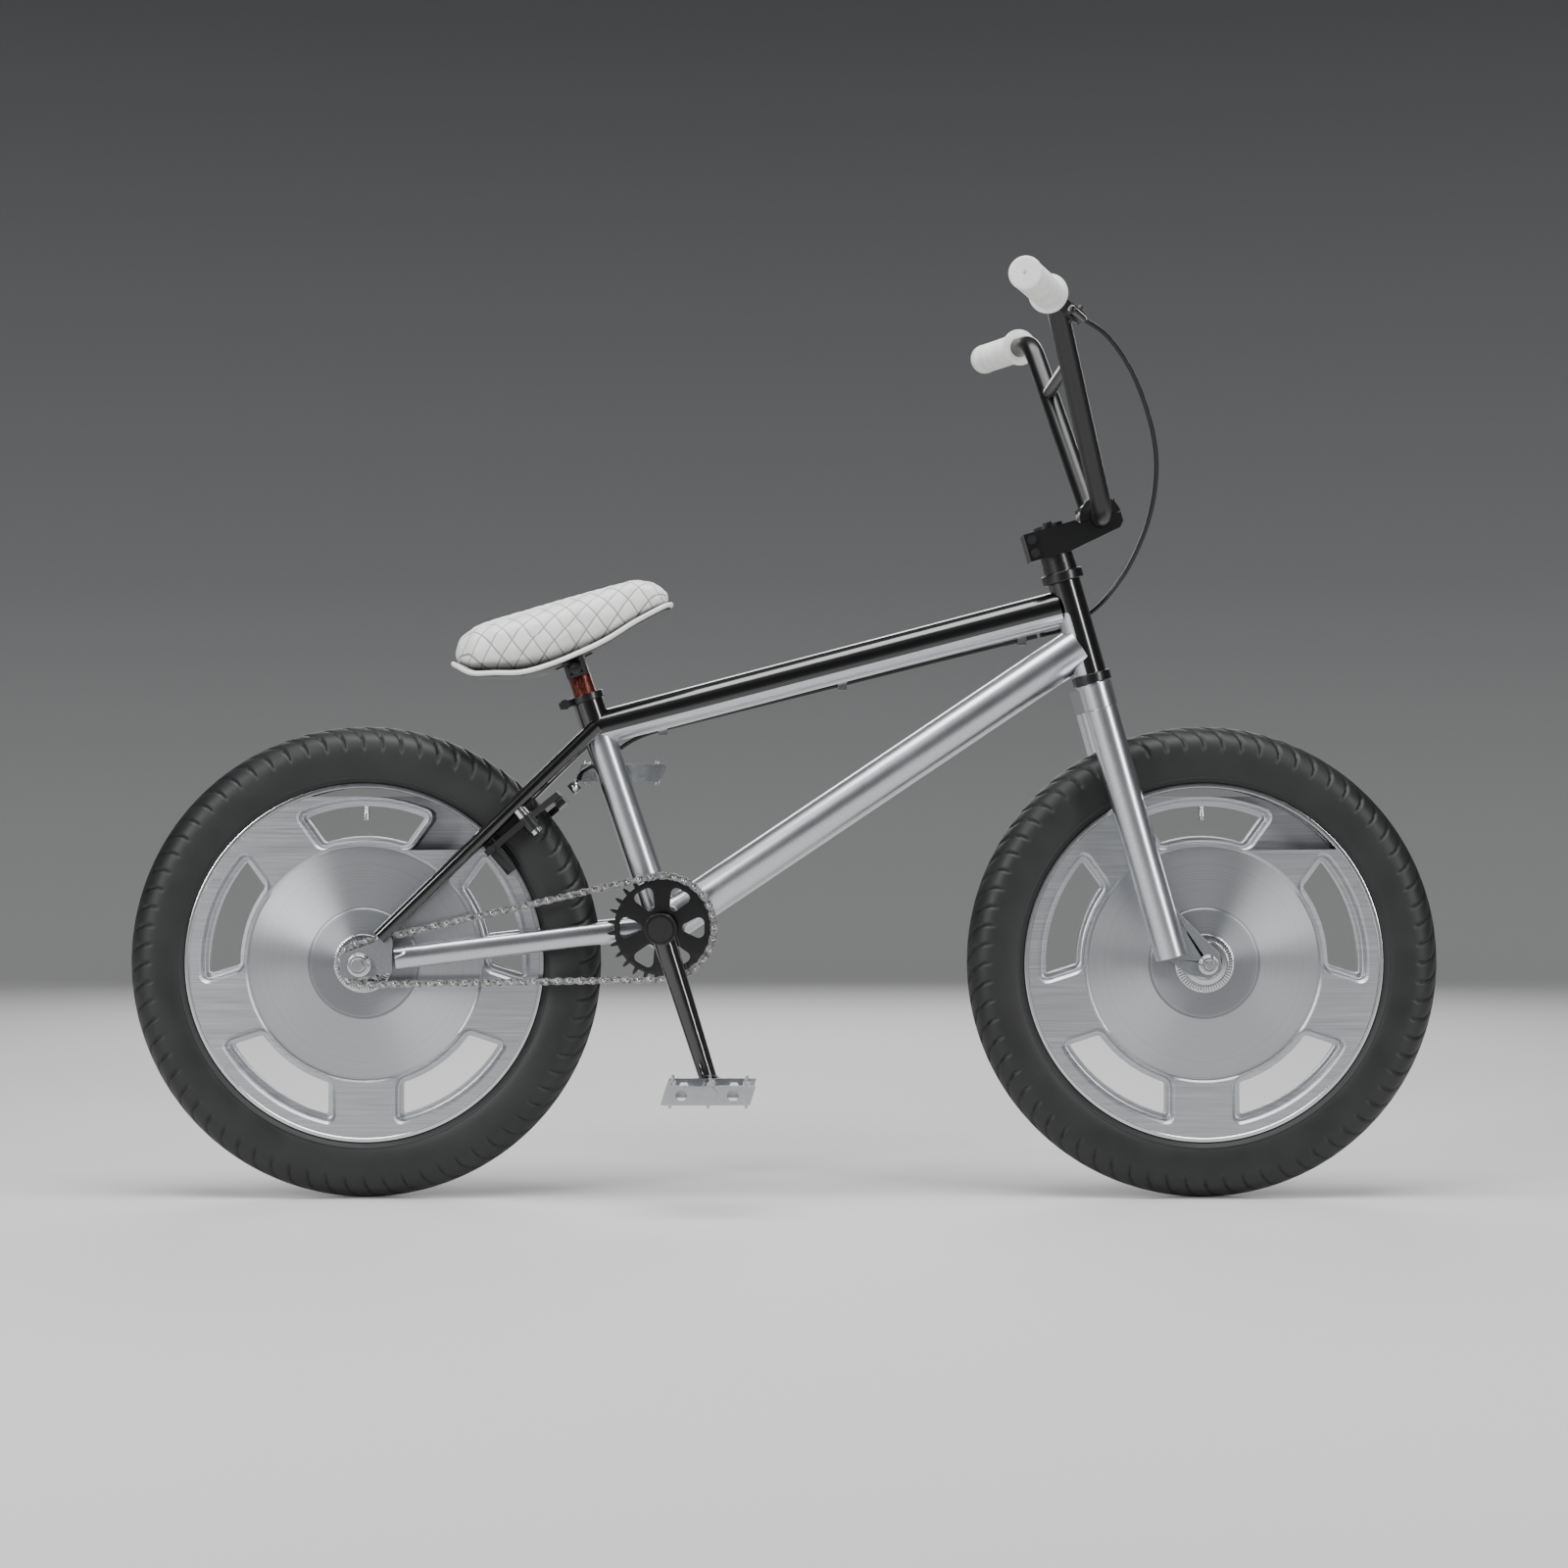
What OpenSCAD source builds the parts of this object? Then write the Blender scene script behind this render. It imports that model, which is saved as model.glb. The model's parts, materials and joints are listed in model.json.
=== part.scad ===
// BMX bike with cast five-window disc wheels.  Millimetres.
// +X forward, +Y to the rider's left, +Z up.  Origin on the ground, midway between the axles.

/* [Wheels] */
// Distance between the axles
wheelbase = 925; // [900:1:950]
// Outer radius of the tyres
tyre_r = 260; // [255:1:262]
// Width of the tyres
tyre_w = 54; // [50:1:54]
// Radius where tyre and rim face meet
rim_r = 198; // [194:1:200]
// Number of windows in each wheel
windows = 5; // [5:1:6]
// Width of the spokes between the windows
spoke_w = 62; // [50:1:70]

/* [Frame] */
// Bottom bracket behind the middle of the wheelbase
bb_back = 133.2; // [133:0.1:134]
// Height of the bottom bracket
bb_z = 300; // [299:1:301]
// Angle of the head tube from the ground
head_angle = 74; // [73:0.5:75]
// Length of the head tube
head_len = 106; // [100:1:108]
// Angle of the seat tube from the ground
seat_angle = 71.3; // [71:0.1:72]
// Length of the seat tube from the bottom bracket
seat_len = 262; // [258:1:264]
// Diameter of the top tube
top_tube_d = 38; // [34:1:40]
// Diameter of the down tube
down_tube_d = 46; // [42:1:48]

/* [Drive] */
// Teeth on the sprocket
sprocket_teeth = 28; // [28:1:28]
// Teeth on the rear cog
cog_teeth = 11; // [11:1:11]
// Length of the crank arms
crank_len = 178; // [170:1:180]
// Lean of the right crank arm ahead of straight down
crank_lean = 17.5; // [10:0.5:30]

/* [Controls] */
// Half of the handlebar's width
bar_half = 325; // [310:1:330]
// Height of the grips
grip_z = 971; // [960:1:980]
// Diameter of the handlebar tube
bar_d = 22.2; // [22:0.1:24]
// Diameter of the seat post
post_d = 25.4; // [25.4:0.1:25.4]

/* [Hidden] */

FINE = 96;
GAP = 0.05;          // radial clearance of a running fit
TOUCH = 0.1;         // gap between welded tubes
LEFT = 1;
RIGHT = -1;

FRONT = [wheelbase / 2, 0, tyre_r];
REAR = [-wheelbase / 2, 0, tyre_r];
BB = [-bb_back, 0, bb_z];
HEAD_TOP = [310, 0, 681];
HEAD_TILT = head_angle - 90;
SEAT_TILT = seat_angle - 90;

// tube radii
HEAD_R = 18.2;
TOP_R = top_tube_d / 2;
DOWN_R = down_tube_d / 2;
SEAT_R = 17.5;
WALL = 2;
STEERER_R = 14.3;
POST_R = post_d / 2;

// where the tubes' centre lines run
TOP_REAR = [-207, 0, 518];
TOP_FRONT = [305, 0, 651.5];
DOWN_FRONT = [327, 0, 609];
SHELL_R = 25;
SHELL_HALF = 36.5;

// rear triangle
DROP_IN = 55;        // inner face of the rear dropouts
DROP_T = 6;
STAY_FRONT = -424;   // where the chain stays end at the dropouts
STAY_PATH = [[-148, 31, 298], [-200, 36, 293], [-300, 44.5, 281], [STAY_FRONT, 58, 266.5]];
SEAT_STAY_TOP = [-206, 22, 521];
SEAT_STAY_LOW = [-441, 62, 290];
SEAT_STAY_R = 8;

// chain geometry
PITCH = 12.7;
CHAIN_Y = -46;
RS = PITCH / 2 / sin(180 / sprocket_teeth);
RC = PITCH / 2 / sin(180 / cog_teeth);
CX = BB[0] - REAR[0];
CZ = BB[2] - REAR[2];
CENTRES = sqrt(CX * CX + CZ * CZ);
LINE = atan2(CZ, CX);
SPREAD = asin((RS - RC) / CENTRES);
UPPER = LINE + 90 + SPREAD;
LOWER = LINE - 90 - SPREAD;
RUN = CENTRES * cos(SPREAD) / PITCH;                      // links in each straight run
ON_SPROCKET = (180 + 2 * SPREAD) * sprocket_teeth / 360;
ON_COG = (180 - 2 * SPREAD) * cog_teeth / 360;
LINKS = round(2 * RUN + ON_SPROCKET + ON_COG);
STRETCH = (2 * RUN + ON_SPROCKET + ON_COG) / LINKS;
ROLLER_R = 3.9;

// fork and steering, measured down the head axis
CUP_H = 11;
CROWN_TOP = -head_len - CUP_H - 0.4;
CROWN_H = 28;
LEG_Y = 54;
LEG_R = 18;
LEG_X = -5;
LEG_END = -428;
FORK_IN = 50;        // inner face of the fork dropouts
AXLE_F = 5;
AXLE_R = 7;
STEM_LOW = 30;
STEM_H = 31;
CLAMP = [56, 56.5];  // bar clamp centre ahead of and above the head tube's top
CLAMP_R = 23;

// handlebar route, right half mirrored to the left
BAR_LOW = HEAD_TOP + CLAMP[0] * [cos(HEAD_TILT), 0, -sin(HEAD_TILT)] + CLAMP[1] * [sin(HEAD_TILT), 0, cos(HEAD_TILT)];
BAR_MID = BAR_LOW + [0, 54, 0];
BAR_TOP = [286.5, 165, 968];
BAR_END = [243, bar_half - 3, grip_z];
CROSS_Z = 906;

// brake on the seat stays, in a frame with x out from the rear axle
BRAKE_TURN = 40;
PIVOT = [240, 38];
PAD_R = 190;

// seat
SADDLE = [ // x, underside, top, half width
    [-364, 584, 604, 22], [-358, 581, 619, 44], [-340, 573, 633, 60], [-315, 573, 641, 66],
    [-285, 574, 649, 62], [-255, 583, 658, 50], [-225, 596, 667, 38], [-195, 611, 676, 30],
    [-165, 630, 685, 26], [-145, 641, 682, 24], [-132, 648, 674, 18], [-126, 650, 666, 10]];
SKIN = 7;            // thickness of the saddle's hard base

// ---------- vectors and sweeps ----------
function unit(v) = v / norm(v);
function flip(p, side) = [p[0], p[1] * side, p[2]];
function steps(a, b, n) = [for (i = [0 : n]) a + (b - a) * i / n];

// a corner of a route rounded over the distance reach on each side
function corner(a, b, c, reach, n) =
    let (p = b + unit(a - b) * reach, q = b + unit(c - b) * reach)
    [for (i = [0 : n]) let (t = i / n) p * (1 - t) * (1 - t) + b * 2 * t * (1 - t) + q * t * t];

// one point on a smooth curve through the route's points
function smooth(p, i, t) =
    let (m = len(p) - 1, a = p[max(i - 1, 0)], b = p[i], c = p[min(i + 1, m)], d = p[min(i + 2, m)])
    0.5 * (2 * b + (c - a) * t + (2 * a - 5 * b + 4 * c - d) * t * t + (3 * b - a - 3 * c + d) * t * t * t);
function route(p, n) = concat([for (i = [0 : len(p) - 2]) for (j = [0 : n - 1]) smooth(p, i, j / n)],
    [p[len(p) - 1]]);

// tube of elliptical section along points; side_way sets the direction of its half width a
module sweep(p, a, b, side_way, sides = 16) {
    m = len(p);
    rings = [for (i = [0 : m - 1])
        let (t = unit(p[min(i + 1, m - 1)] - p[max(i - 1, 0)]), u = unit(side_way - t * (side_way * t)), v = cross(t, u))
        for (k = [0 : sides - 1]) let (w = 360 * k / sides) p[i] + u * a * cos(w) + v * b * sin(w)];
    walls = [for (i = [0 : m - 2]) for (k = [0 : sides - 1])
        let (n = (k + 1) % sides) [i * sides + k, (i + 1) * sides + k, (i + 1) * sides + n, i * sides + n]];
    ends = [[for (k = [0 : sides - 1]) k], [for (k = [sides - 1 : -1 : 0]) (m - 1) * sides + k]];
    polyhedron(rings, concat(walls, ends), convexity = 8);
}

// straight round rod between two points
module rod(p, q, r1, r2 = 0) {
    d = q - p;
    translate(p) rotate([0, acos(d[2] / norm(d)), atan2(d[1], d[0])])
        cylinder(h = norm(d), r1 = r1, r2 = r2 > 0 ? r2 : r1, $fn = FINE);
}

// cylinder along Y through a place in the side view
module pin(at, r, y0, y1) {
    translate([at[0], y0, at[2]]) rotate([-90, 0, 0]) cylinder(h = y1 - y0, r = r, $fn = FINE);
}

// flat shape drawn in the side view as [x, z], thick from y0 to y1
module plate(y0, y1) {
    translate([0, y1, 0]) rotate([90, 0, 0]) linear_extrude(y1 - y0) children();
}

module both() {
    children();
    mirror([0, 1, 0]) children();
}

module on_head() {
    translate(HEAD_TOP) rotate([0, HEAD_TILT, 0]) children();
}

module on_seat() {
    translate(BB) rotate([0, SEAT_TILT, 0]) children();
}

module on_brake() {
    translate(REAR) rotate([0, -BRAKE_TURN, 0]) children();
}

module ring(z0, z1, r_out, r_in) {
    translate([0, 0, z0]) difference() {
        cylinder(h = z1 - z0, r = r_out, $fn = FINE);
        translate([0, 0, -1]) cylinder(h = z1 - z0 + 2, r = r_in, $fn = FINE);
    }
}

module head_solid(grow = 0) {
    on_head() translate([0, 0, -head_len - grow]) cylinder(h = head_len + 2 * grow, r = HEAD_R + grow, $fn = FINE);
}

module seat_solid(grow = 0) {
    on_seat() cylinder(h = seat_len, r = SEAT_R + grow, $fn = FINE);
}

module shell_solid(grow = 0) {
    pin(BB, SHELL_R + grow, -SHELL_HALF - grow, SHELL_HALF + grow);
}

// ---------- frame ----------
module head_tube() {
    color("#111111") on_head() ring(-head_len, 0, HEAD_R, STEERER_R + 1.2);
}

module top_tube() {
    color("#151515") difference() {
        rod(TOP_REAR, TOP_FRONT, TOP_R);
        rod(TOP_REAR, TOP_FRONT, TOP_R - WALL);
        head_solid(TOUCH);
        seat_solid(TOUCH);
    }
}

module down_tube() {
    color("#b8bac0") difference() {
        rod(BB, DOWN_FRONT, DOWN_R);
        rod(BB, DOWN_FRONT, DOWN_R - WALL);
        head_solid(TOUCH);
        shell_solid(TOUCH);
        seat_solid(TOUCH);
        rod(TOP_REAR, TOP_FRONT, TOP_R + TOUCH);
    }
}

module seat_tube() {
    color("#b8bac0") difference() {
        seat_solid();
        on_seat() cylinder(h = seat_len + 1, r = POST_R + GAP, $fn = FINE);
        shell_solid(TOUCH);
    }
}

module bottom_bracket_shell() {
    color("#b8bac0") difference() {
        shell_solid();
        pin(BB, 20.5, -SHELL_HALF - 1, SHELL_HALF + 1);
    }
}

module seat_stays() {
    color("#111111") both() difference() {
        rod(SEAT_STAY_LOW, SEAT_STAY_TOP, SEAT_STAY_R);
        seat_solid(TOUCH);
        rod(TOP_REAR, TOP_FRONT, TOP_R + TOUCH);
    }
}

module chain_stays() {
    color("#b8bac0") both() difference() {
        sweep(route(STAY_PATH, 6), 7.5, 12, [0, 1, 0]);
        shell_solid(TOUCH);
    }
}

// plate that holds the rear axle, between the stays' ends
module dropout_outline() {
    polygon([[STAY_FRONT - 2.4, 252], [STAY_FRONT - 2.4, 285], [-430, 297], [-447, 284], [-482, 272],
        [-484, 250], [-474, 244]]);
}

module rear_dropouts() {
    color("#7c7e82") both() difference() {
        plate(DROP_IN, DROP_IN + DROP_T) dropout_outline();
        pin(REAR, AXLE_R + GAP, DROP_IN - 1, DROP_IN + DROP_T + 1);
        rod(SEAT_STAY_LOW, SEAT_STAY_TOP, SEAT_STAY_R + TOUCH);
    }
}

module headset_cups() {
    color("#2a2b2d") on_head() {
        ring(0.1, CUP_H, 23, STEERER_R + 0.6);
        ring(-head_len - CUP_H, -head_len - 0.1, 21.5, STEERER_R + 0.6);
    }
}

module bottom_bracket_bearings() {
    color("silver") both() translate([BB[0], 0, BB[2]]) rotate([-90, 0, 0])
        ring(26, SHELL_HALF, 20.4, 11 + GAP);
}

CLAMP_AT = seat_len + 0.2;
module seat_clamp() {
    color("#0d0d0d") on_seat() difference() {
        union() {
            translate([0, 0, CLAMP_AT]) cylinder(h = 8, r = 19.5, $fn = FINE);
            translate([-31, -12, CLAMP_AT]) cube([18, 24, 8]);
        }
        translate([0, 0, CLAMP_AT - 1]) cylinder(h = 12, r = POST_R + GAP, $fn = FINE);
        translate([-35, -1, CLAMP_AT - 1]) cube([24, 2, 12]);
        translate([-24, -20, CLAMP_AT + 4]) rotate([-90, 0, 0]) cylinder(h = 40, r = 2.6, $fn = FINE);
    }
}

module seat_clamp_bolt() {
    color("#202020") on_seat() translate([-24, 0, CLAMP_AT + 4]) rotate([-90, 0, 0]) {
        translate([0, 0, -16]) cylinder(h = 30, r = 2.5, $fn = FINE);
        translate([0, 0, -17]) cylinder(h = 4.9, r = 5.5, $fn = FINE);
        translate([0, 0, 12.1]) cylinder(h = 4, r = 4.5, $fn = 6);
    }
}

module rear_axle() {
    color("silver") {
        pin(REAR, AXLE_R, -71.5, 71.5);
        pin(REAR, AXLE_R - 0.5, -78, 78);
        pin(REAR, 10, -DROP_IN + 0.1, -51);
        pin(REAR, 10, 34.5, DROP_IN - 0.1);
    }
}

// flanged nut and washer, facing out from y
module axle_nut(axle, r, y) {
    difference() {
        union() {
            pin(axle, r + 6, y, y + 2);
            pin(axle, r + 4, y + 2, y + 10);
        }
        pin(axle, r + GAP, y - 1, y + 11);
    }
}

module rear_axle_nuts() {
    color("silver") both() axle_nut(REAR, AXLE_R, DROP_IN + DROP_T + 0.1);
}

// studs on the seat stays that the brake arms turn on
module brake_posts() {
    color("silver") both() difference() {
        on_brake() {
            translate([PIVOT[0], PIVOT[1], -12]) cylinder(h = 36, r = 4, $fn = FINE);
            translate([PIVOT[0], PIVOT[1], 9.4]) cylinder(h = 10, r = 7, $fn = FINE);
            translate([PIVOT[0], PIVOT[1], -14]) cylinder(h = 4.6, r = 6.5, $fn = FINE);
        }
        rod(SEAT_STAY_LOW, SEAT_STAY_TOP, SEAT_STAY_R + TOUCH);
    }
}

// the housing runs along the left of the top tube and down to the brake
CABLE_R = 2.5;
CABLE_SIDE = 24;
CABLE_REAR = [[282, 24, 622], [200, 24, 602], [60, 24, 567], [-80, 24, 532], [-155, 25, 512],
    [-190, 27, 492], [-212, 22, 478], [-224, 8, 470], [-227, 0, 463]];
module cable_guides() {
    color("silver") difference() {
        for (x = [260, 60, -140]) let (z = 622 + (x - 282) * 0.25)
            translate([x, 18, z - 5]) cube([10, 10, 10]);
        rod(TOP_REAR, TOP_FRONT, TOP_R + TOUCH);
        sweep(route(CABLE_REAR, 4), CABLE_R + 0.4, CABLE_R + 0.4, [0, 0.6, 1], 12);
    }
}

module rear_brake_cable() {
    color("#0c0c0c") sweep(route(CABLE_REAR, 4), CABLE_R, CABLE_R, [0, 0.6, 1], 8);
}

// hanger and wire that pull the two crossed arms together
module straddle_cable() {
    color("silver") {
        rod([-227.4, 0, 462.2], [-233, 0, 455], 1);
        on_brake() translate([296, -8, 6]) rotate([0, 90, 0]) cube([12, 16, 10]);
    }
}

function chain_at(u) =
    u < ON_SPROCKET ? let (w = UPPER - u * 360 / sprocket_teeth) BB + RS * [cos(w), 0, sin(w)]
    : u < ON_SPROCKET + RUN ?
        let (t = (u - ON_SPROCKET) / RUN, n = [cos(LOWER), 0, sin(LOWER)]) (BB + RS * n) * (1 - t) + (REAR + RC * n) * t
    : u < ON_SPROCKET + RUN + ON_COG ?
        let (w = LOWER - (u - ON_SPROCKET - RUN) * 360 / cog_teeth) REAR + RC * [cos(w), 0, sin(w)]
    : let (t = (u - ON_SPROCKET - RUN - ON_COG) / RUN, n = [cos(UPPER), 0, sin(UPPER)])
        (REAR + RC * n) * (1 - t) + (BB + RS * n) * t;
COG_FIRST = ceil((ON_SPROCKET + RUN) / STRETCH);
COG_PHASE = LOWER - (COG_FIRST * STRETCH - ON_SPROCKET - RUN) * 360 / cog_teeth;

// a loop of side plates outside the teeth, and the rollers between them
module chain() {
    pins = [for (k = [0 : LINKS - 1]) chain_at(k * STRETCH)];
    outline = [for (p = pins) [p[0], p[2]]];
    color("#9a9ca0") {
        for (side = [LEFT, RIGHT]) let (y0 = CHAIN_Y + (side > 0 ? 1.9 : -4.4))
            plate(y0, y0 + 2.5) difference() {
                offset(delta = 4.2) polygon(outline);
                offset(delta = -4.2) polygon(outline);
            }
        for (p = pins) translate([p[0], CHAIN_Y - 2, p[2]]) rotate([-90, 0, 0])
            cylinder(h = 4, r = 3.2, $fn = 12);
    }
}

// ---------- fork ----------
module fork_steerer() {
    color("silver") on_head() difference() {
        translate([0, 0, CROWN_TOP]) cylinder(h = STEM_LOW + STEM_H - 3 - CROWN_TOP, r = STEERER_R, $fn = FINE);
        translate([0, 0, CROWN_TOP - 1]) cylinder(h = 400, r = STEERER_R - 2.5, $fn = FINE);
    }
}

module fork_crown() {
    color("#c2c4c8") on_head() {
        translate([LEG_X - LEG_R, -LEG_Y, CROWN_TOP - CROWN_H]) cube([2 * LEG_R, 2 * LEG_Y, CROWN_H - 3]);
        for (side = [LEFT, RIGHT]) translate([LEG_X, side * LEG_Y, CROWN_TOP - CROWN_H])
            cylinder(h = CROWN_H - 3, r = LEG_R, $fn = FINE);
        translate([0, 0, CROWN_TOP - CROWN_H]) cylinder(h = CROWN_H - 0.2, r = 20, $fn = FINE);
    }
}

module fork_legs() {
    color("#c2c4c8") on_head() both() difference() {
        translate([LEG_X, LEG_Y, LEG_END]) cylinder(h = CROWN_TOP - CROWN_H - 0.2 - LEG_END, r = LEG_R, $fn = FINE);
        translate([LEG_X, LEG_Y, LEG_END - 1]) cylinder(h = 500, r = LEG_R - WALL, $fn = FINE);
        translate([LEG_X - 30, LEG_Y - 30, LEG_END - 10]) rotate([0, 12, 0]) cube([90, 60, 12]);
        fork_plate(TOUCH);
    }
}

module fork_plate(grow = 0) {
    translate([0, FORK_IN + 6 + grow, 0]) rotate([90, 0, 0]) linear_extrude(6 + 2 * grow)
        polygon([[LEG_X - 4, -372], [LEG_X + 12, -368], [46, -438], [44, -456], [28, -462], [8, -452],
            [LEG_X - 4, -430]]);
}

module fork_dropouts() {
    color("#a6a8ac") both() difference() {
        on_head() fork_plate();
        pin(FRONT, AXLE_F + GAP, FORK_IN - 1, FORK_IN + 7);
    }
}

module headset_spacers() {
    color("#101010") on_head() {
        ring(CUP_H + 0.4, CUP_H + 9, 18.5, STEERER_R + GAP);
        ring(CUP_H + 9.1, STEM_LOW - 0.1, 18, STEERER_R + GAP);
        // cap and bolt head on top of the stem
        translate([0, 0, STEM_LOW + STEM_H + 0.1]) cylinder(h = 4, r = 16.5, $fn = FINE);
        translate([0, 0, STEM_LOW + STEM_H + 4.1]) cylinder(h = 3, r = 5, $fn = FINE);
    }
}

// stem: block round the steerer that reaches forward to a cradle under the bar
module stem() {
    color("#0e0e0e") on_head() difference() {
        translate([0, 24, 0]) rotate([90, 0, 0]) linear_extrude(48) polygon([[-31, STEM_LOW],
            [16, STEM_LOW], [74, 40], [79, 46], [79, CLAMP[1] - 0.4], [CLAMP[0] - CLAMP_R, CLAMP[1] - 0.4],
            [28, STEM_LOW + STEM_H], [-31, STEM_LOW + STEM_H]]);
        translate([0, 0, STEM_LOW - 1]) cylinder(h = 60, r = STEERER_R + GAP, $fn = FINE);
        translate([CLAMP[0], -30, CLAMP[1]]) rotate([-90, 0, 0]) cylinder(h = 60, r = 11.6, $fn = FINE);
        translate([-40, -1.5, 0]) cube([30, 3, 90]);
        for (z = [8, 23]) translate([-24, -30, STEM_LOW + z]) rotate([-90, 0, 0]) cylinder(h = 60, r = 3.1, $fn = FINE);
        for (x = [-17, 17], y = [-16, 16]) translate([CLAMP[0] + x, y, CLAMP[1] - 16]) cylinder(h = 30, r = 2.6, $fn = FINE);
    }
}

module stem_cap() {
    color("#0e0e0e") on_head() difference() {
        intersection() {
            translate([CLAMP[0], -24, CLAMP[1]]) rotate([-90, 0, 0]) cylinder(h = 48, r = CLAMP_R, $fn = FINE);
            translate([CLAMP[0] - 40, -30, CLAMP[1] + 0.4]) cube([80, 60, 40]);
        }
        for (x = [-17, 17], y = [-16, 16]) translate([CLAMP[0] + x, y, CLAMP[1] + 12]) cylinder(h = 20, r = 4.6, $fn = FINE);
        translate([CLAMP[0], -30, CLAMP[1]]) rotate([-90, 0, 0]) cylinder(h = 60, r = 11.6, $fn = FINE);
        for (x = [-17, 17], y = [-16, 16]) translate([CLAMP[0] + x, y, CLAMP[1] - 1]) cylinder(h = 30, r = 2.6, $fn = FINE);
    }
}

module stem_bolts() {
    color("#1c1c1c") on_head() {
        for (x = [-17, 17], y = [-16, 16]) translate([CLAMP[0] + x, y, CLAMP[1] - 15]) {
            cylinder(h = 28, r = 2.5, $fn = FINE);
            translate([0, 0, 27.1]) cylinder(h = 4, r = 4.2, $fn = FINE);
        }
        for (z = [8, 23]) translate([-24, -22, STEM_LOW + z]) rotate([-90, 0, 0]) {
            cylinder(h = 44, r = 3, $fn = FINE);
            translate([0, 0, -7]) cylinder(h = 4.9, r = 5, $fn = FINE);
        }
    }
}

function bar_half_route() = concat([BAR_LOW], corner(BAR_LOW, BAR_MID, BAR_TOP, 27, 6),
    corner(BAR_MID, BAR_TOP, BAR_END, 20, 8), [BAR_END]);
function reversed(p) = [for (i = [len(p) - 1 : -1 : 1]) p[i]];
BAR_LEAN = [cos(HEAD_TILT), 0, -sin(HEAD_TILT)];

module handlebar() {
    right = [for (p = reversed(bar_half_route())) flip(p, RIGHT)];
    color("#0c0c0c") sweep(concat(right, bar_half_route()), bar_d / 2, bar_d / 2, BAR_LEAN, 20);
}

// place of the bar's axis on the upright at height z
function upright(z) = BAR_MID + (BAR_TOP - BAR_MID) * (z - BAR_MID[2]) / (BAR_TOP[2] - BAR_MID[2]);
module crossbar() {
    p = upright(CROSS_Z);
    color("#0c0c0c") difference() {
        rod(flip(p, RIGHT), p, 8);
        both() rod(upright(CROSS_Z - 40), upright(CROSS_Z + 40), bar_d / 2 + TOUCH);
    }
}

GRIP_DIR = unit(BAR_END - BAR_TOP);
GRIP_LEN = 122;
module along_grip() {
    translate(BAR_END) rotate([0, 0, atan2(GRIP_DIR[1], GRIP_DIR[0])])
        rotate([0, 90 - asin(GRIP_DIR[2]), 0]) children();
}

module grips() {
    color("#ececea") both() along_grip() difference() {
        union() {
            translate([0, 0, -GRIP_LEN]) cylinder(h = GRIP_LEN, r = 16, $fn = FINE);
            translate([0, 0, -GRIP_LEN - 2]) cylinder(h = 4, r = 21, $fn = FINE);
            for (i = [0 : 15]) translate([0, 0, -GRIP_LEN + 10 + i * 6.6]) cylinder(h = 3, r = 17, $fn = 40);
        }
        translate([0, 0, -GRIP_LEN - 10]) cylinder(h = GRIP_LEN + 20, r = bar_d / 2 + TOUCH, $fn = FINE);
    }
}

module bar_end_plugs() {
    color("#d8d8d6") both() along_grip() translate([0, 0, 0.2]) cylinder(h = 3, r = 17.5, $fn = FINE);
}

// bracket of the brake lever, clamped inboard of the right grip
LEVER_AT = -GRIP_LEN - 11;
LEVER_SPIN = -52;    // points the bracket ahead of and below the bar
LEVER_PIVOT = 34;

// in the lever's frame: x away from the bar towards the lever, z along the bar outwards
module lever_frame() {
    mirror([0, 1, 0]) along_grip() translate([0, 0, LEVER_AT]) rotate([0, 0, LEVER_SPIN]) children();
}

module lever_bracket() {
    color("#0e0e0e") lever_frame() difference() {
        union() {
            translate([0, 0, -8]) cylinder(h = 16, r = 16, $fn = FINE);
            translate([0, -7, -8]) cube([42, 14, 16]);
            translate([24, 0, -20]) cylinder(h = 14, r = 5, $fn = FINE);
        }
        translate([0, 0, -20]) cylinder(h = 60, r = bar_d / 2 + TOUCH, $fn = FINE);
        translate([26, -4.3, -20]) cube([30, 8.6, 40]);
        translate([LEVER_PIVOT, -20, 0]) rotate([-90, 0, 0]) cylinder(h = 40, r = 2.6, $fn = FINE);
    }
}

// two-finger lever that curves out ahead of the grip
LEVER_PATH = [[LEVER_PIVOT, 0, 3], [46, 0, 14], [52, 0, 34], [50, 0, 60], [48, 0, 84], [54, 0, 100]];
module brake_lever() {
    color("#0c0c0c") lever_frame() {
        translate([LEVER_PIVOT, -4, 0]) rotate([-90, 0, 0]) cylinder(h = 8, r = 4.2, $fn = FINE);
        translate([LEVER_PIVOT, -11, 0]) rotate([-90, 0, 0]) cylinder(h = 22, r = 2.5, $fn = FINE);
        sweep(route(LEVER_PATH, 4), 3.9, 3.2, [0, 1, 0], 12);
    }
}

module front_axle() {
    color("silver") {
        pin(FRONT, AXLE_F, -66.5, 66.5);
        pin(FRONT, AXLE_F - 0.5, -72, 72);
        both() pin(FRONT, 8.5, 34.5, FORK_IN - 0.1);
    }
}

module front_axle_nuts() {
    color("silver") both() axle_nut(FRONT, AXLE_F, FORK_IN + 6.1);
}

// housing from the lever down round the head tube
LOOP = [[304, -172, 953], [318, -148, 950], [348, -118, 934], [378, -88, 897], [400, -62, 845],
    [408, -38, 799], [403, -12, 750], [385, 10, 702], [360, 24, 665], [338, 29, 645], [312, 28, 630],
    [296, 26, 625], [286, 24, 623]];
module brake_cable_loop() {
    color("#0c0c0c") sweep(route(LOOP, 3), CABLE_R, CABLE_R, [0.3, 1, 0.2], 8);
}

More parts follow.
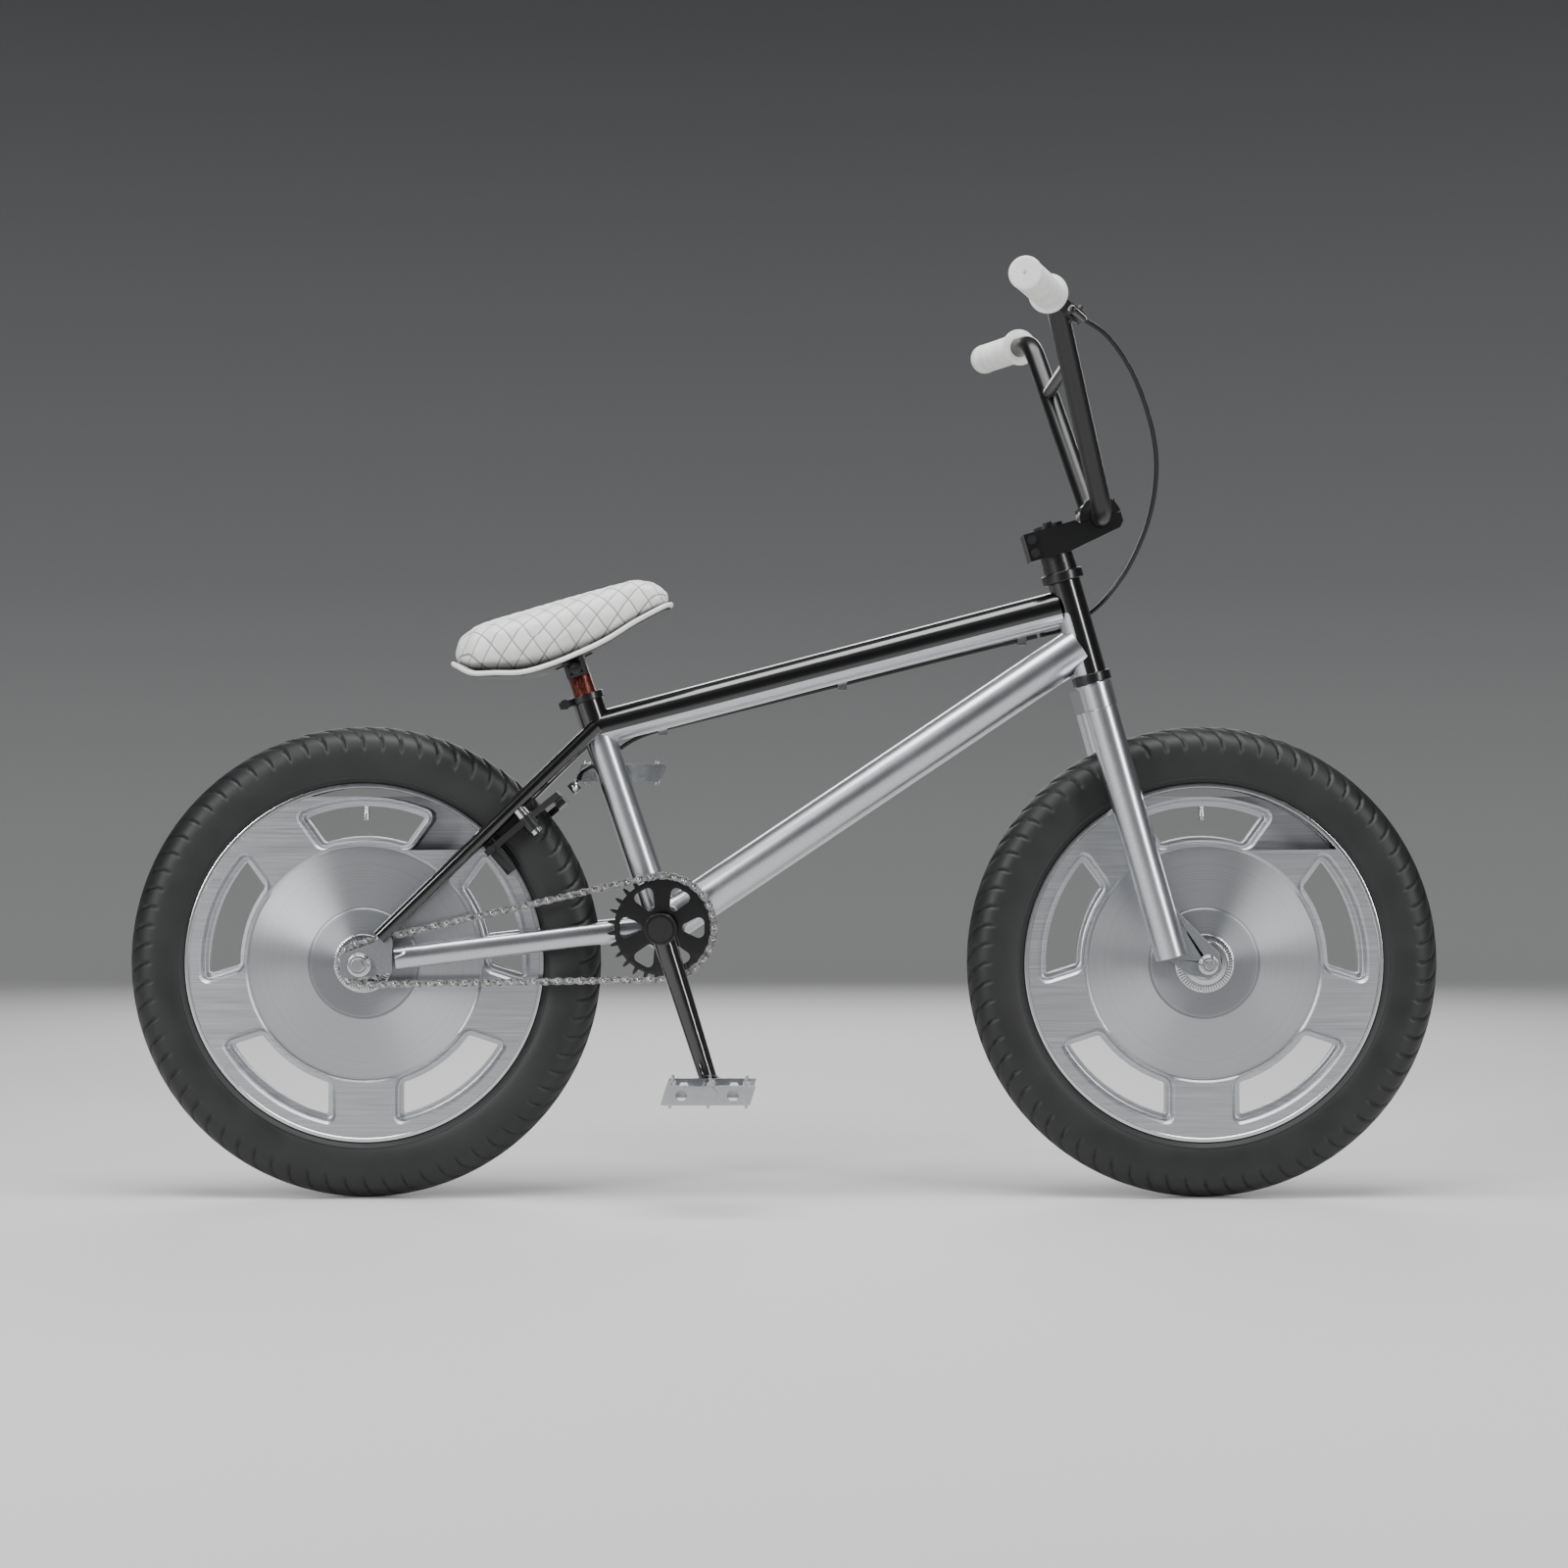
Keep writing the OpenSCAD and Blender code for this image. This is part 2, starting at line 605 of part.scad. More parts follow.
// ---------- wheels ----------
module wheel_body() {
    difference() {
        rotate([-90, 0, 0]) rotate_extrude($fn = FINE) difference() {
            polygon([[18.05, -34], [24, -34], [26, -27], [57, -25], [60, -22.5], [128, -17], [132, -19],
                [186, -20], [rim_r, -19], [rim_r, 19], [186, 20], [132, 19], [128, 17], [60, 22.5],
                [57, 25], [26, 27], [24, 34], [18.05, 34]]);
            polygon([[40, -16], [120, -11], [172, -11], [172, 11], [120, 11], [40, 16]]);
        }
        for (i = [0 : windows - 1]) rotate([0, -90 + i * 360 / windows, 0]) window();
    }
}

// opening between two spokes, running from one face to the other
module window() {
    half = 180 / windows;
    rotate([-90, 0, 0]) translate([0, 0, -40]) linear_extrude(80) intersection() {
        difference() {
            circle(r = 183, $fn = FINE);
            circle(r = 129, $fn = FINE);
        }
        polygon([for (s = [-1, 1]) for (r = s < 0 ? [100, 260] : [260, 100])
            let (w = s * (half - asin(spoke_w / 2 / r))) [r * cos(w), r * sin(w)]]);
    }
}

module tyre() {
    mid = (tyre_r + rim_r - 2) / 2;
    high = tyre_r - mid;
    rotate([-90, 0, 0]) rotate_extrude($fn = FINE) difference() {
        intersection() {
            polygon([for (i = [0 : 47]) let (w = i * 7.5) [mid + high * cos(w), tyre_w / 2 * sin(w)]]);
            translate([rim_r + 0.1, -60]) square([100, 120]);
        }
        polygon([for (i = [0 : 47]) let (w = i * 7.5) [mid - 2 + (high - 5) * cos(w), (tyre_w / 2 - 4) * sin(w)]]);
    }
}

module hub_bearings(axle_r) {
    both() rotate([-90, 0, 0]) ring(22, 34, 18, axle_r + GAP);
}

module valve() {
    translate([0, 0, 160]) cylinder(h = 22.9, r = 3, $fn = 24);
    translate([0, 0, 157]) cylinder(h = 8, r = 3.8, $fn = 24);
}

module front_tyre() { color("#1b1b1c") translate(FRONT) tyre(); }
module front_wheel() { color("#b9bbbf") translate(FRONT) wheel_body(); }
module front_hub_bearings() { color("silver") translate(FRONT) hub_bearings(AXLE_F); }
module front_valve() { color("silver") translate(FRONT) valve(); }
module rear_tyre() { color("#1b1b1c") translate(REAR) tyre(); }
module rear_wheel() { color("#b9bbbf") translate(REAR) wheel_body(); }
module rear_hub_bearings() { color("silver") translate(REAR) hub_bearings(AXLE_R); }
module rear_valve() { color("silver") translate(REAR) valve(); }

// ---------- drive ----------
// toothed edge: a root disc with a tapered tooth between each two rollers
module teeth(count, pitch_r, phase) {
    root = pitch_r - 4.2;
    circle(r = root, $fn = FINE);
    for (i = [0 : count - 1]) rotate(phase + (i + 0.5) * 360 / count)
        polygon([[root - 1, -2.6], [pitch_r + 0.5, -1.9], [pitch_r + 3.6, -0.6], [pitch_r + 3.6, 0.6],
            [pitch_r + 0.5, 1.9], [root - 1, 2.6]]);
}

module rear_cog() {
    color("#3a3b3d") translate(REAR) difference() {
        union() {
            plate(CHAIN_Y - 1.5, CHAIN_Y + 1.5) teeth(cog_teeth, RC, COG_PHASE);
            plate(-50.5, -34.5) circle(r = 14, $fn = FINE);
        }
        plate(-60, 0) circle(r = AXLE_R + GAP, $fn = FINE);
    }
}

module crank_spindle() {
    color("#1c1c1c") {
        pin(BB, 11, -90, 90);
        both() pin(BB, 13, ARM_Y + 13.1, ARM_Y + 17);
    }
}

// sprocket with six rounded windows and a bolt circle
module sprocket() {
    color("#141414") translate(BB) difference() {
        plate(CHAIN_Y - 1.5, CHAIN_Y + 1.5) difference() {
            teeth(sprocket_teeth, RS, UPPER);
            circle(r = 11.1, $fn = FINE);
            for (i = [0 : 5]) rotate(60 * i) hull() {
                translate([27, 0]) circle(r = 5, $fn = 32);
                translate([40, 5]) circle(r = 6, $fn = 32);
                translate([40, -5]) circle(r = 6, $fn = 32);
            }
        }
    }
}

CRANK_DIR = [sin(crank_lean), 0, -cos(crank_lean)];
function crank_end(side) = BB - side * crank_len * CRANK_DIR;
ARM_Y = 80;
module crank_arm(side) {
    lift = [0, side * ARM_Y, 0];
    difference() {
        union() {
            mirror([0, side > 0 ? 0 : 1, 0]) pin(BB, 17, ARM_Y - 14, ARM_Y + 13);
            pin(crank_end(side), 12.5, side * ARM_Y - 10, side * ARM_Y + 10);
            rod(BB + lift, crank_end(side) + lift, 12.5, 9.5);
        }
        pin(BB, 11.1, side * ARM_Y - 30, side * ARM_Y + 30);
        pin(crank_end(side), 7.1, side * ARM_Y - 30, side * ARM_Y + 30);
    }
}
module right_crank_arm() { color("#0f0f0f") crank_arm(RIGHT); }
module left_crank_arm() { color("#0f0f0f") crank_arm(LEFT); }

module pedal_axles() {
    color("#1c1c1c") for (side = [LEFT, RIGHT]) {
        pin(crank_end(side), 7, side > 0 ? ARM_Y - 9 : -ARM_Y - 12, side > 0 ? ARM_Y + 12 : -ARM_Y + 9);
        pin(crank_end(side), 5, side > 0 ? ARM_Y + 11 : -188, side > 0 ? 188 : -ARM_Y - 11);
    }
}

// platform pedal: end plates, crossbars and a barrel round the axle
module pedal(side) {
    y0 = 97;
    y1 = 190;
    translate(crank_end(side)) mirror([0, side > 0 ? 0 : 1, 0]) difference() {
        union() {
            for (y = [y0, y1 - 5]) plate(y, y + 5) difference() {
                polygon([[-50, -10], [44, -10], [50, 10], [-44, 10]]);
                for (x = [-28, 26]) translate([x, 0]) circle(r = 6.5, $fn = 6);
            }
            for (x = [-43, 36]) translate([x, y0 + 1, -8]) cube([7, y1 - y0 - 2, 16]);
            rotate([-90, 0, 0]) translate([0, 0, y0]) cylinder(h = y1 - y0 + 3, r = 10, $fn = FINE);
            for (y = [y0 + 30, y1 - 36]) translate([-40, y, -5]) cube([80, 6, 10]);
            for (x = [-40, 0, 40], y = [y0 + 2.5, y1 - 2.5]) translate([x, y, -13.5]) cylinder(h = 27, r = 1.7, $fn = 12);
            for (x = [-39.5, 39.5], y = [y0 + 33, y1 - 33]) translate([x, y, -12]) cylinder(h = 24, r = 1.7, $fn = 12);
        }
        rotate([-90, 0, 0]) translate([0, 0, y0 - 2]) cylinder(h = 188.5 - y0 + 2, r = 5 + GAP, $fn = FINE);
    }
}
module right_pedal() { color("#b4b6ba") pedal(RIGHT); }
module left_pedal() { color("#b4b6ba") pedal(LEFT); }

// ---------- rear brake ----------
// arm that turns on its post: pad below, crossing over the tyre above; layer picks its side of the pair
module brake_arm(side, z0) {
    s = side;
    on_brake() difference() {
        union() {
            translate([PIVOT[0], s * PIVOT[1], -9]) cylinder(h = 18, r = 8.5, $fn = FINE);
            translate([0, 0, z0]) linear_extrude(7) {
                polygon([[PAD_R - 8, s * 46], [PAD_R - 8, s * 34], [PIVOT[0], s * 31], [PIVOT[0] + 4, s * 46]]);
                polygon([[PIVOT[0] - 2, s * 46], [PIVOT[0] - 2, s * 31], [270, s * 24], [274, s * -24],
                    [284, s * -24], [284, s * 30]]);
            }
        }
        translate([PIVOT[0], s * PIVOT[1], -20]) cylinder(h = 40, r = 4 + GAP, $fn = FINE);
    }
    // bolt that holds the shoe
    on_brake() translate([PAD_R, s > 0 ? 32.1 : -49, z0 + 3.5]) rotate([-90, 0, 0])
        cylinder(h = 16.9, r = 4, $fn = FINE);
}
// rubber shoe beside the rim
module brake_shoe(side) {
    on_brake() translate([PAD_R - 6, side > 0 ? 22.5 : -32, -28]) cube([12, 9.5, 56]);
}
module right_brake_arm() { color("silver") brake_arm(RIGHT, 1); }
module left_brake_arm() { color("silver") brake_arm(LEFT, -8); }
module right_brake_shoe() { color("#151515") brake_shoe(RIGHT); }
module left_brake_shoe() { color("#151515") brake_shoe(LEFT); }

// ---------- seat ----------
BOLT_UP = 38;        // saddle's pivot bolt above the seat tube's top
module seat_post() {
    color("#7a3a30") on_seat() difference() {
        translate([0, 0, seat_len - 110]) cylinder(h = 160, r = POST_R, $fn = FINE);
        translate([0, 0, seat_len - 111]) cylinder(h = 140, r = POST_R - 2.2, $fn = FINE);
        translate([0, -20, seat_len + BOLT_UP]) rotate([-90, 0, 0]) cylinder(h = 40, r = 4, $fn = FINE);
    }
}

module saddle_bolt() {
    color("#1c1c1c") on_seat() translate([0, -26, seat_len + BOLT_UP]) rotate([-90, 0, 0]) {
        cylinder(h = 52, r = 3.95, $fn = FINE);
        translate([0, 0, -3]) cylinder(h = 4.8, r = 6.5, $fn = FINE);
        translate([0, 0, 50.2]) cylinder(h = 4.8, r = 6.5, $fn = FINE);
    }
}

// rounded body through the saddle's stations, from one height share to another of each station
module saddle_loft(pad, trim) {
    sides = 16;
    m = len(SADDLE);
    pts = [for (s = SADDLE) let (z0 = pad ? s[1] + SKIN : s[1], z1 = pad ? s[2] : s[1] + SKIN - 0.4)
        for (k = [0 : sides - 1]) let (w = 360 * k / sides + 360 / sides / 2, c = cos(w), d = sin(w))
        [s[0], (s[3] - trim) * sign(c) * pow(abs(c), 0.7), (z0 + z1) / 2 + (z1 - z0) / 2 * sign(d) * pow(abs(d), 0.7)]];
    walls = [for (i = [0 : m - 2]) for (k = [0 : sides - 1]) let (n = (k + 1) % sides)
        for (face = [[i * sides + k, (i + 1) * sides + k, (i + 1) * sides + n], [i * sides + k, (i + 1) * sides + n, i * sides + n]]) face];
    polyhedron(pts, concat(walls, [[for (k = [0 : sides - 1]) k]],
        [[for (k = [sides - 1 : -1 : 0]) (m - 1) * sides + k]]), convexity = 4);
}

// hard shell under the pad, with two ears that hold the pivot bolt beside the post
module saddle_base() {
    color("#121212") difference() {
        union() {
            saddle_loft(false, 4);
            on_seat() for (y = [-24, 15]) translate([-12, y, seat_len + BOLT_UP - 9]) cube([24, 9, 24]);
        }
        on_seat() {
            translate([-22, -14.5, seat_len + 20]) cube([44, 29, 60]);
            translate([0, -30, seat_len + BOLT_UP]) rotate([-90, 0, 0]) cylinder(h = 60, r = 4, $fn = FINE);
        }
    }
}

module saddle_pad() {
    color("#efefee") saddle_loft(true, 0);
}

head_tube();
top_tube();
down_tube();
seat_tube();
bottom_bracket_shell();
seat_stays();
chain_stays();
rear_dropouts();
headset_cups();
bottom_bracket_bearings();
seat_clamp();
seat_clamp_bolt();
rear_axle();
rear_axle_nuts();
brake_posts();
cable_guides();
rear_brake_cable();
straddle_cable();
chain();
fork_steerer();
fork_crown();
fork_legs();
fork_dropouts();
headset_spacers();
stem();
stem_cap();
stem_bolts();
handlebar();
crossbar();
grips();
bar_end_plugs();
lever_bracket();
front_axle();
front_axle_nuts();
brake_cable_loop();
front_tyre();
front_wheel();
front_hub_bearings();
front_valve();
rear_tyre();
rear_wheel();
rear_hub_bearings();
rear_valve();
rear_cog();
crank_spindle();
sprocket();
right_crank_arm();
left_crank_arm();
pedal_axles();
right_pedal();
left_pedal();
brake_lever();
right_brake_arm();
left_brake_arm();
right_brake_shoe();
left_brake_shoe();
seat_post();
saddle_bolt();
saddle_base();
saddle_pad();
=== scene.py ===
# %% [markdown]
# # A BMX bike in Blender
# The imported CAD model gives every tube, axle and joint its place and size.  This script keeps those
# parts, gives them the finish of the real ones, and models in Blender what needs more shape than a
# plain solid: cast wheels, treaded tyres, a quilted saddle, ribbed grips, chain, bar and cables.

# %% Load the frame
import json
import math

import bmesh
import bpy
from mathutils import Matrix, Vector


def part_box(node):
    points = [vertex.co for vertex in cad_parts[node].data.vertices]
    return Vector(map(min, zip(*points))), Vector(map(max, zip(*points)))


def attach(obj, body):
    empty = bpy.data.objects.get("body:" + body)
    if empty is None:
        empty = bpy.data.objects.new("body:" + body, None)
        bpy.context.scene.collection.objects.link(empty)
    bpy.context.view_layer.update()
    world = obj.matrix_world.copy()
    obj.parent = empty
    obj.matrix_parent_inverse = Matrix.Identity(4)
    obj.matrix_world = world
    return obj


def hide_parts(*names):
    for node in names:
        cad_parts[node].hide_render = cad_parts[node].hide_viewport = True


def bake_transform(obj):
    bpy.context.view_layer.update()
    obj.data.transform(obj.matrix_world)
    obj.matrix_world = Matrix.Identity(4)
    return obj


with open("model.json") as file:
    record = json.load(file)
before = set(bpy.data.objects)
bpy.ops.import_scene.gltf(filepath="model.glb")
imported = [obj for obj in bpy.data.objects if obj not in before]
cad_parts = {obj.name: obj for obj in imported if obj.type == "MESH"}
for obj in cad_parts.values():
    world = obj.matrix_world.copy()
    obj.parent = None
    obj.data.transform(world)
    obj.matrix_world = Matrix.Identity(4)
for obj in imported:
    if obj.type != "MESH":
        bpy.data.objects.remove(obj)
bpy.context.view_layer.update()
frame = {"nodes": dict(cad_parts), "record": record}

# %% [markdown]
# ## Measures
# Positions come from the frame's own boxes and joints, so a change in the CAD model moves the looks
# with it.  Millimetres are easier to read for bike parts, so small sizes are written as 12 * MM.

# %% Measures shared by the pieces
MM = 0.001
JOINTS = {joint["name"]: joint for joint in frame["record"]["behaviour"]["joints"]}
FRONT_AXLE = Vector(JOINTS["front_wheel_spin"]["pos_m"])
REAR_AXLE = Vector(JOINTS["rear_wheel_spin"]["pos_m"])
CRANK_AXLE = Vector(JOINTS["crank_spin"]["pos_m"])
STEER_AXIS = Vector(JOINTS["steer"]["axis"]).normalized()
HEAD_TOP = Vector(JOINTS["steer"]["pos_m"])
SEAT_AXIS = Vector(JOINTS["seat_height"]["axis"]).normalized()
HEAD_AHEAD = Vector((STEER_AXIS.z, 0, -STEER_AXIS.x))
SEAT_AHEAD = Vector((SEAT_AXIS.z, 0, -SEAT_AXIS.x))
TYRE_R = (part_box("front_tyre")[1][2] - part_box("front_tyre")[0][2]) / 2
RIM_R = (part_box("front_wheel")[1][2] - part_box("front_wheel")[0][2]) / 2


def on_head(ahead, side, up):
    """A place given from the top of the head tube, along and across the steering axis."""
    return HEAD_TOP + HEAD_AHEAD * ahead + Vector((0, side, 0)) + STEER_AXIS * up


print("tyre radius", round(TYRE_R, 3), "rim radius", round(RIM_R, 3))

# %% [markdown]
# ## Camera
# A side view on the drive side at half the bike's height.  The lens is chosen so that the bike fills
# most of the square frame from 3.5 m away, which keeps the near and far sides close in size.

# %% Camera
CAMERA_BACK = 3.5
CAMERA_UP = 0.457
VIEW_WIDTH = 1.737
SENSOR = 36.0
camera_data = bpy.data.cameras.new("camera")
camera_data.sensor_width = SENSOR
camera_data.lens = SENSOR * CAMERA_BACK / VIEW_WIDTH
camera_data.clip_end = 50
camera = bpy.data.objects.new("camera", camera_data)
camera.location = (0, -CAMERA_BACK, CAMERA_UP)
camera.rotation_euler = (math.radians(90), 0, 0)
bpy.context.scene.collection.objects.link(camera)
bpy.context.scene.camera = camera

# %% [markdown]
# ## Helpers for materials
# Every finish is built from nodes.  One function turns a hex colour to linear light, one adds a node
# with its settings and links, and one starts a material with its shader's own numbers.

# %% Material helpers
def linear(hex_colour):
    """An sRGB hex value as linear RGBA."""
    parts = [int(hex_colour[i:i + 2], 16) / 255 for i in (1, 3, 5)]
    return [p / 12.92 if p <= 0.04045 else ((p + 0.055) / 1.055) ** 2.4 for p in parts] + [1.0]


def add(tree, kind, inputs=None, **settings):
    """Adds a node.  Settings are its properties.  An input is a socket to link or a value."""
    node = tree.nodes.new(kind)
    for name, value in settings.items():
        setattr(node, name, value)
    for name, value in (inputs or {}).items():
        socket = node.inputs[name]
        if isinstance(value, bpy.types.NodeSocket):
            tree.links.new(value, socket)
        else:
            socket.default_value = value
    return node


def new_material(name, colour, **numbers):
    """A material whose shader has these constant numbers.  Returns it, its node tree and shader."""
    material = bpy.data.materials.new(name)
    material.use_nodes = True
    tree = material.node_tree
    shader = tree.nodes["Principled BSDF"]
    shader.inputs["Base Color"].default_value = linear(colour)
    for key, value in numbers.items():
        shader.inputs[key.replace("_", " ").title().replace("Ior", "IOR")].default_value = value
    material.diffuse_color = linear(colour)
    return material, tree, shader


def ramp_colours(tree, factor, stops):
    """A colour ramp through (position, hex) stops."""
    ramp = add(tree, "ShaderNodeValToRGB", {"Fac": factor})
    while len(ramp.color_ramp.elements) < len(stops):
        ramp.color_ramp.elements.new(0.5)
    for element, (position, colour) in zip(ramp.color_ramp.elements, stops):
        element.position = position
        element.color = linear(colour)
    return ramp.outputs["Color"]


def place(tree, scale=(1, 1, 1), turn=(0, 0, 0), shift=(0, 0, 0)):
    """Object coordinates, moved, turned and stretched for a pattern."""
    where = add(tree, "ShaderNodeTexCoord").outputs["Object"]
    inputs = {"Vector": where, "Scale": scale, "Rotation": turn, "Location": shift}
    return add(tree, "ShaderNodeMapping", inputs).outputs["Vector"]


def noise(tree, scale, detail=2.0, stretch=(1, 1, 1)):
    """A noise pattern in object coordinates, from 0 to 1."""
    inputs = {"Vector": place(tree, stretch), "Scale": scale, "Detail": detail}
    return add(tree, "ShaderNodeTexNoise", inputs).outputs["Fac"]


def tint_base(tree, shader, factor, stops):
    """Colours the surface by a ramp through (position, hex) stops."""
    tree.links.new(ramp_colours(tree, factor, stops), shader.inputs["Base Color"])


def bump(tree, shader, height, depth_mm, strength=1.0):
    """Raises the surface by height times depth_mm, for the shader's normal."""
    inputs = {"Height": height, "Distance": depth_mm * MM, "Strength": strength}
    tree.links.new(add(tree, "ShaderNodeBump", inputs).outputs["Normal"], shader.inputs["Normal"])


def vary(tree, socket, factor, low, high):
    """Drives a shader number between low and high by a factor from 0 to 1."""
    inputs = {"Value": factor, "To Min": low, "To Max": high}
    tree.links.new(add(tree, "ShaderNodeMapRange", inputs).outputs["Result"], socket)


# %% [markdown]
# ## Two-tone frame paint
# The frame is sprayed gloss black, with a silver panel masked inside the front triangle, and then
# lacquered.  The mask is a three-sided shape with rounded corners: its edges run parallel to the top
# tube, head tube and seat tube.  Each edge is a distance measured in the side view, and a smooth
# maximum of the three rounds the corners.  The lacquer is the shader's coat.

# %% Two-tone paint
def edge_distance(tree, where, point, normal):
    """How far a place lies outside the line through point, in the side view."""
    turned = add(tree, "ShaderNodeVectorMath", {0: where, 1: normal}, operation="DOT_PRODUCT")
    inputs = {0: turned.outputs["Value"], 1: point.dot(normal)}
    return add(tree, "ShaderNodeMath", inputs, operation="SUBTRACT").outputs["Value"]


def flake_bump(tree, shader, depth_mm=0.012):
    """The faint orange peel of sprayed lacquer, waves about 3 mm long."""
    peel = noise(tree, 330.0, 1.0)
    bump(tree, shader, peel, depth_mm)


def make_two_tone_paint():
    material, tree, shader = new_material("two_tone_gloss_paint", "#0b0b0c", metallic=0.0,
                                          roughness=0.22, coat_weight=1.0, coat_roughness=0.04)
    where = place(tree)
    rise = math.atan2(0.2607, 1)
    top_up = Vector((-math.sin(rise), 0, math.cos(rise)))
    top_point = Vector((-0.177, 0, 0.5258)) - top_up * 7 * MM
    head_point = HEAD_TOP - HEAD_AHEAD * 5.5 * MM
    seat_point = CRANK_AXLE - SEAT_AHEAD * 13 * MM
    over_top = edge_distance(tree, where, top_point, top_up)
    past_head = edge_distance(tree, where, head_point, HEAD_AHEAD)
    past_seat = edge_distance(tree, where, seat_point, -SEAT_AHEAD)
    corner_head = add(tree, "ShaderNodeMath", {0: over_top, 1: past_head, 2: 8 * MM},
                      operation="SMOOTH_MAX")
    outside = add(tree, "ShaderNodeMath", {0: corner_head.outputs[0], 1: past_seat, 2: 26 * MM},
                  operation="SMOOTH_MAX")
    inputs = {"Value": outside.outputs[0], "From Min": 0.25 * MM, "From Max": -0.25 * MM}
    silver = add(tree, "ShaderNodeMapRange", inputs).outputs["Result"]
    grain = noise(tree, 1500.0)
    flake = ramp_colours(tree, grain, [(0.3, "#a9abb0"), (0.7, "#d0d2d7")])
    inputs = {"Factor": silver, 6: linear("#0b0b0c"), 7: flake}
    tint = add(tree, "ShaderNodeMix", inputs, data_type="RGBA").outputs[2]
    tree.links.new(tint, shader.inputs["Base Color"])
    vary(tree, shader.inputs["Metallic"], silver, 0.0, 0.95)
    vary(tree, shader.inputs["Roughness"], silver, 0.22, 0.3)
    flake_bump(tree, shader)
    return material


# %% [markdown]
# ## Plain paints and metals
# Black parts are sprayed or anodised, silver tubes are metallic paint under lacquer, and small steel
# parts are plated.  Each has the surface its making leaves: brushed grain, bead-blasted dimples,
# polishing haze or orange peel.

# %% Black paint, silver paint and metals
def make_gloss_black():
    material, tree, shader = new_material("gloss_black_paint", "#0a0a0b", roughness=0.2,
                                          coat_weight=1.0, coat_roughness=0.04)
    flake_bump(tree, shader)
    return material


def make_silver_paint():
    material, tree, shader = new_material("silver_metallic_paint", "#c3c5ca", metallic=1.0,
                                          roughness=0.3, coat_weight=0.35, coat_roughness=0.1)
    grain = noise(tree, 1500.0)
    tint_base(tree, shader, grain, [(0.3, "#aeb0b5"), (0.7, "#d3d5d9")])
    haze = noise(tree, 18.0, 4.0)
    vary(tree, shader.inputs["Roughness"], haze, 0.24, 0.36)
    flake_bump(tree, shader, 0.008)
    return material


def make_satin_black(name="black_anodised_aluminium", colour="#111112", rough=0.3, grain_mm=0.4):
    """Bead-blasted, then anodised or oxidised black: dimples under half a millimetre."""
    material, tree, shader = new_material(name, colour, metallic=0.1, roughness=rough,
                                          coat_weight=0.25, coat_roughness=0.2)
    dimples = noise(tree, 1 / (grain_mm * MM) / 2)
    vary(tree, shader.inputs["Roughness"], dimples, rough - 0.06, rough + 0.1)
    bump(tree, shader, dimples, 0.02)
    return material


def make_polished_steel(name="polished_plated_steel", colour="#cfd0d3", rough=0.14):
    material, tree, shader = new_material(name, colour, metallic=1.0, roughness=rough)
    haze = noise(tree, 160.0, 5.0)
    vary(tree, shader.inputs["Roughness"], haze, rough * 0.7, rough * 1.9)
    scratch = noise(tree, 1.0, stretch=(300, 3000, 900))
    bump(tree, shader, scratch, 0.006)
    return material


def make_dropout_steel():
    """Laser-cut plate, bead-blasted: a flat grey with a fine even grain."""
    material, tree, shader = new_material("blasted_steel_plate", "#85878b", metallic=0.9,
                                          roughness=0.45)
    grain = noise(tree, 1400.0)
    tint_base(tree, shader, grain, [(0.25, "#75777b"), (0.75, "#94969a")])
    bump(tree, shader, grain, 0.03)
    return material


def make_pedal_aluminium():
    """Tumbled in grit after machining, so its edges are bright and its faces finely speckled."""
    material, tree, shader = new_material("tumbled_aluminium", "#b9bbbf", metallic=1.0, roughness=0.24)
    speck = add(tree, "ShaderNodeTexVoronoi", {"Vector": place(tree), "Scale": 900.0})
    tint_base(tree, shader, speck.outputs["Distance"], [(0.0, "#97999d"), (0.5, "#c6c8cc")])
    bump(tree, shader, speck.outputs["Distance"], 0.04)
    return material


def make_chain_steel():
    """Rolled steel with a thin film of oil: bright and brown-grey in random patches."""
    material, tree, shader = new_material("oiled_chain_steel", "#a9aaad", metallic=1.0, roughness=0.26)
    film = noise(tree, 240.0, 4.0)
    tint_base(tree, shader, film, [(0.35, "#77736c"), (0.6, "#c4c5c8")])
    vary(tree, shader.inputs["Roughness"], film, 0.18, 0.4)
    return material


def make_red_anodised():
    """Copper-red anodised seat post with the mottled figure that the dye leaves on the grain."""
    material, tree, shader = new_material("copper_red_anodised", "#7c382d", metallic=0.6, roughness=0.3)
    figure = add(tree, "ShaderNodeTexNoise", {"Vector": place(tree, (1.0, 1.0, 0.45)), "Scale": 420.0,
                                              "Detail": 5.0, "Roughness": 0.75, "Distortion": 0.8})
    stops = [(0.34, "#1c0b09"), (0.46, "#4a1d17"), (0.56, "#7c382d"), (0.72, "#9c5546")]
    tint_base(tree, shader, figure.outputs["Fac"], stops)
    vary(tree, shader.inputs["Roughness"], figure.outputs["Fac"], 0.22, 0.42)
    bump(tree, shader, figure.outputs["Fac"], 0.03)
    return material


# %% [markdown]
# ## Turned and brushed aluminium
# The wheel's centre is faced on a lathe, so its tool marks are circles and a highlight opens into a
# fan.  A radial highlight needs a stretched reflection whose direction follows the circles: the
# wheel's UV map runs round the axle, and the Tangent node takes its direction from it.  The spokes
# and rim face are brushed straight across, so their grain is stretched noise.

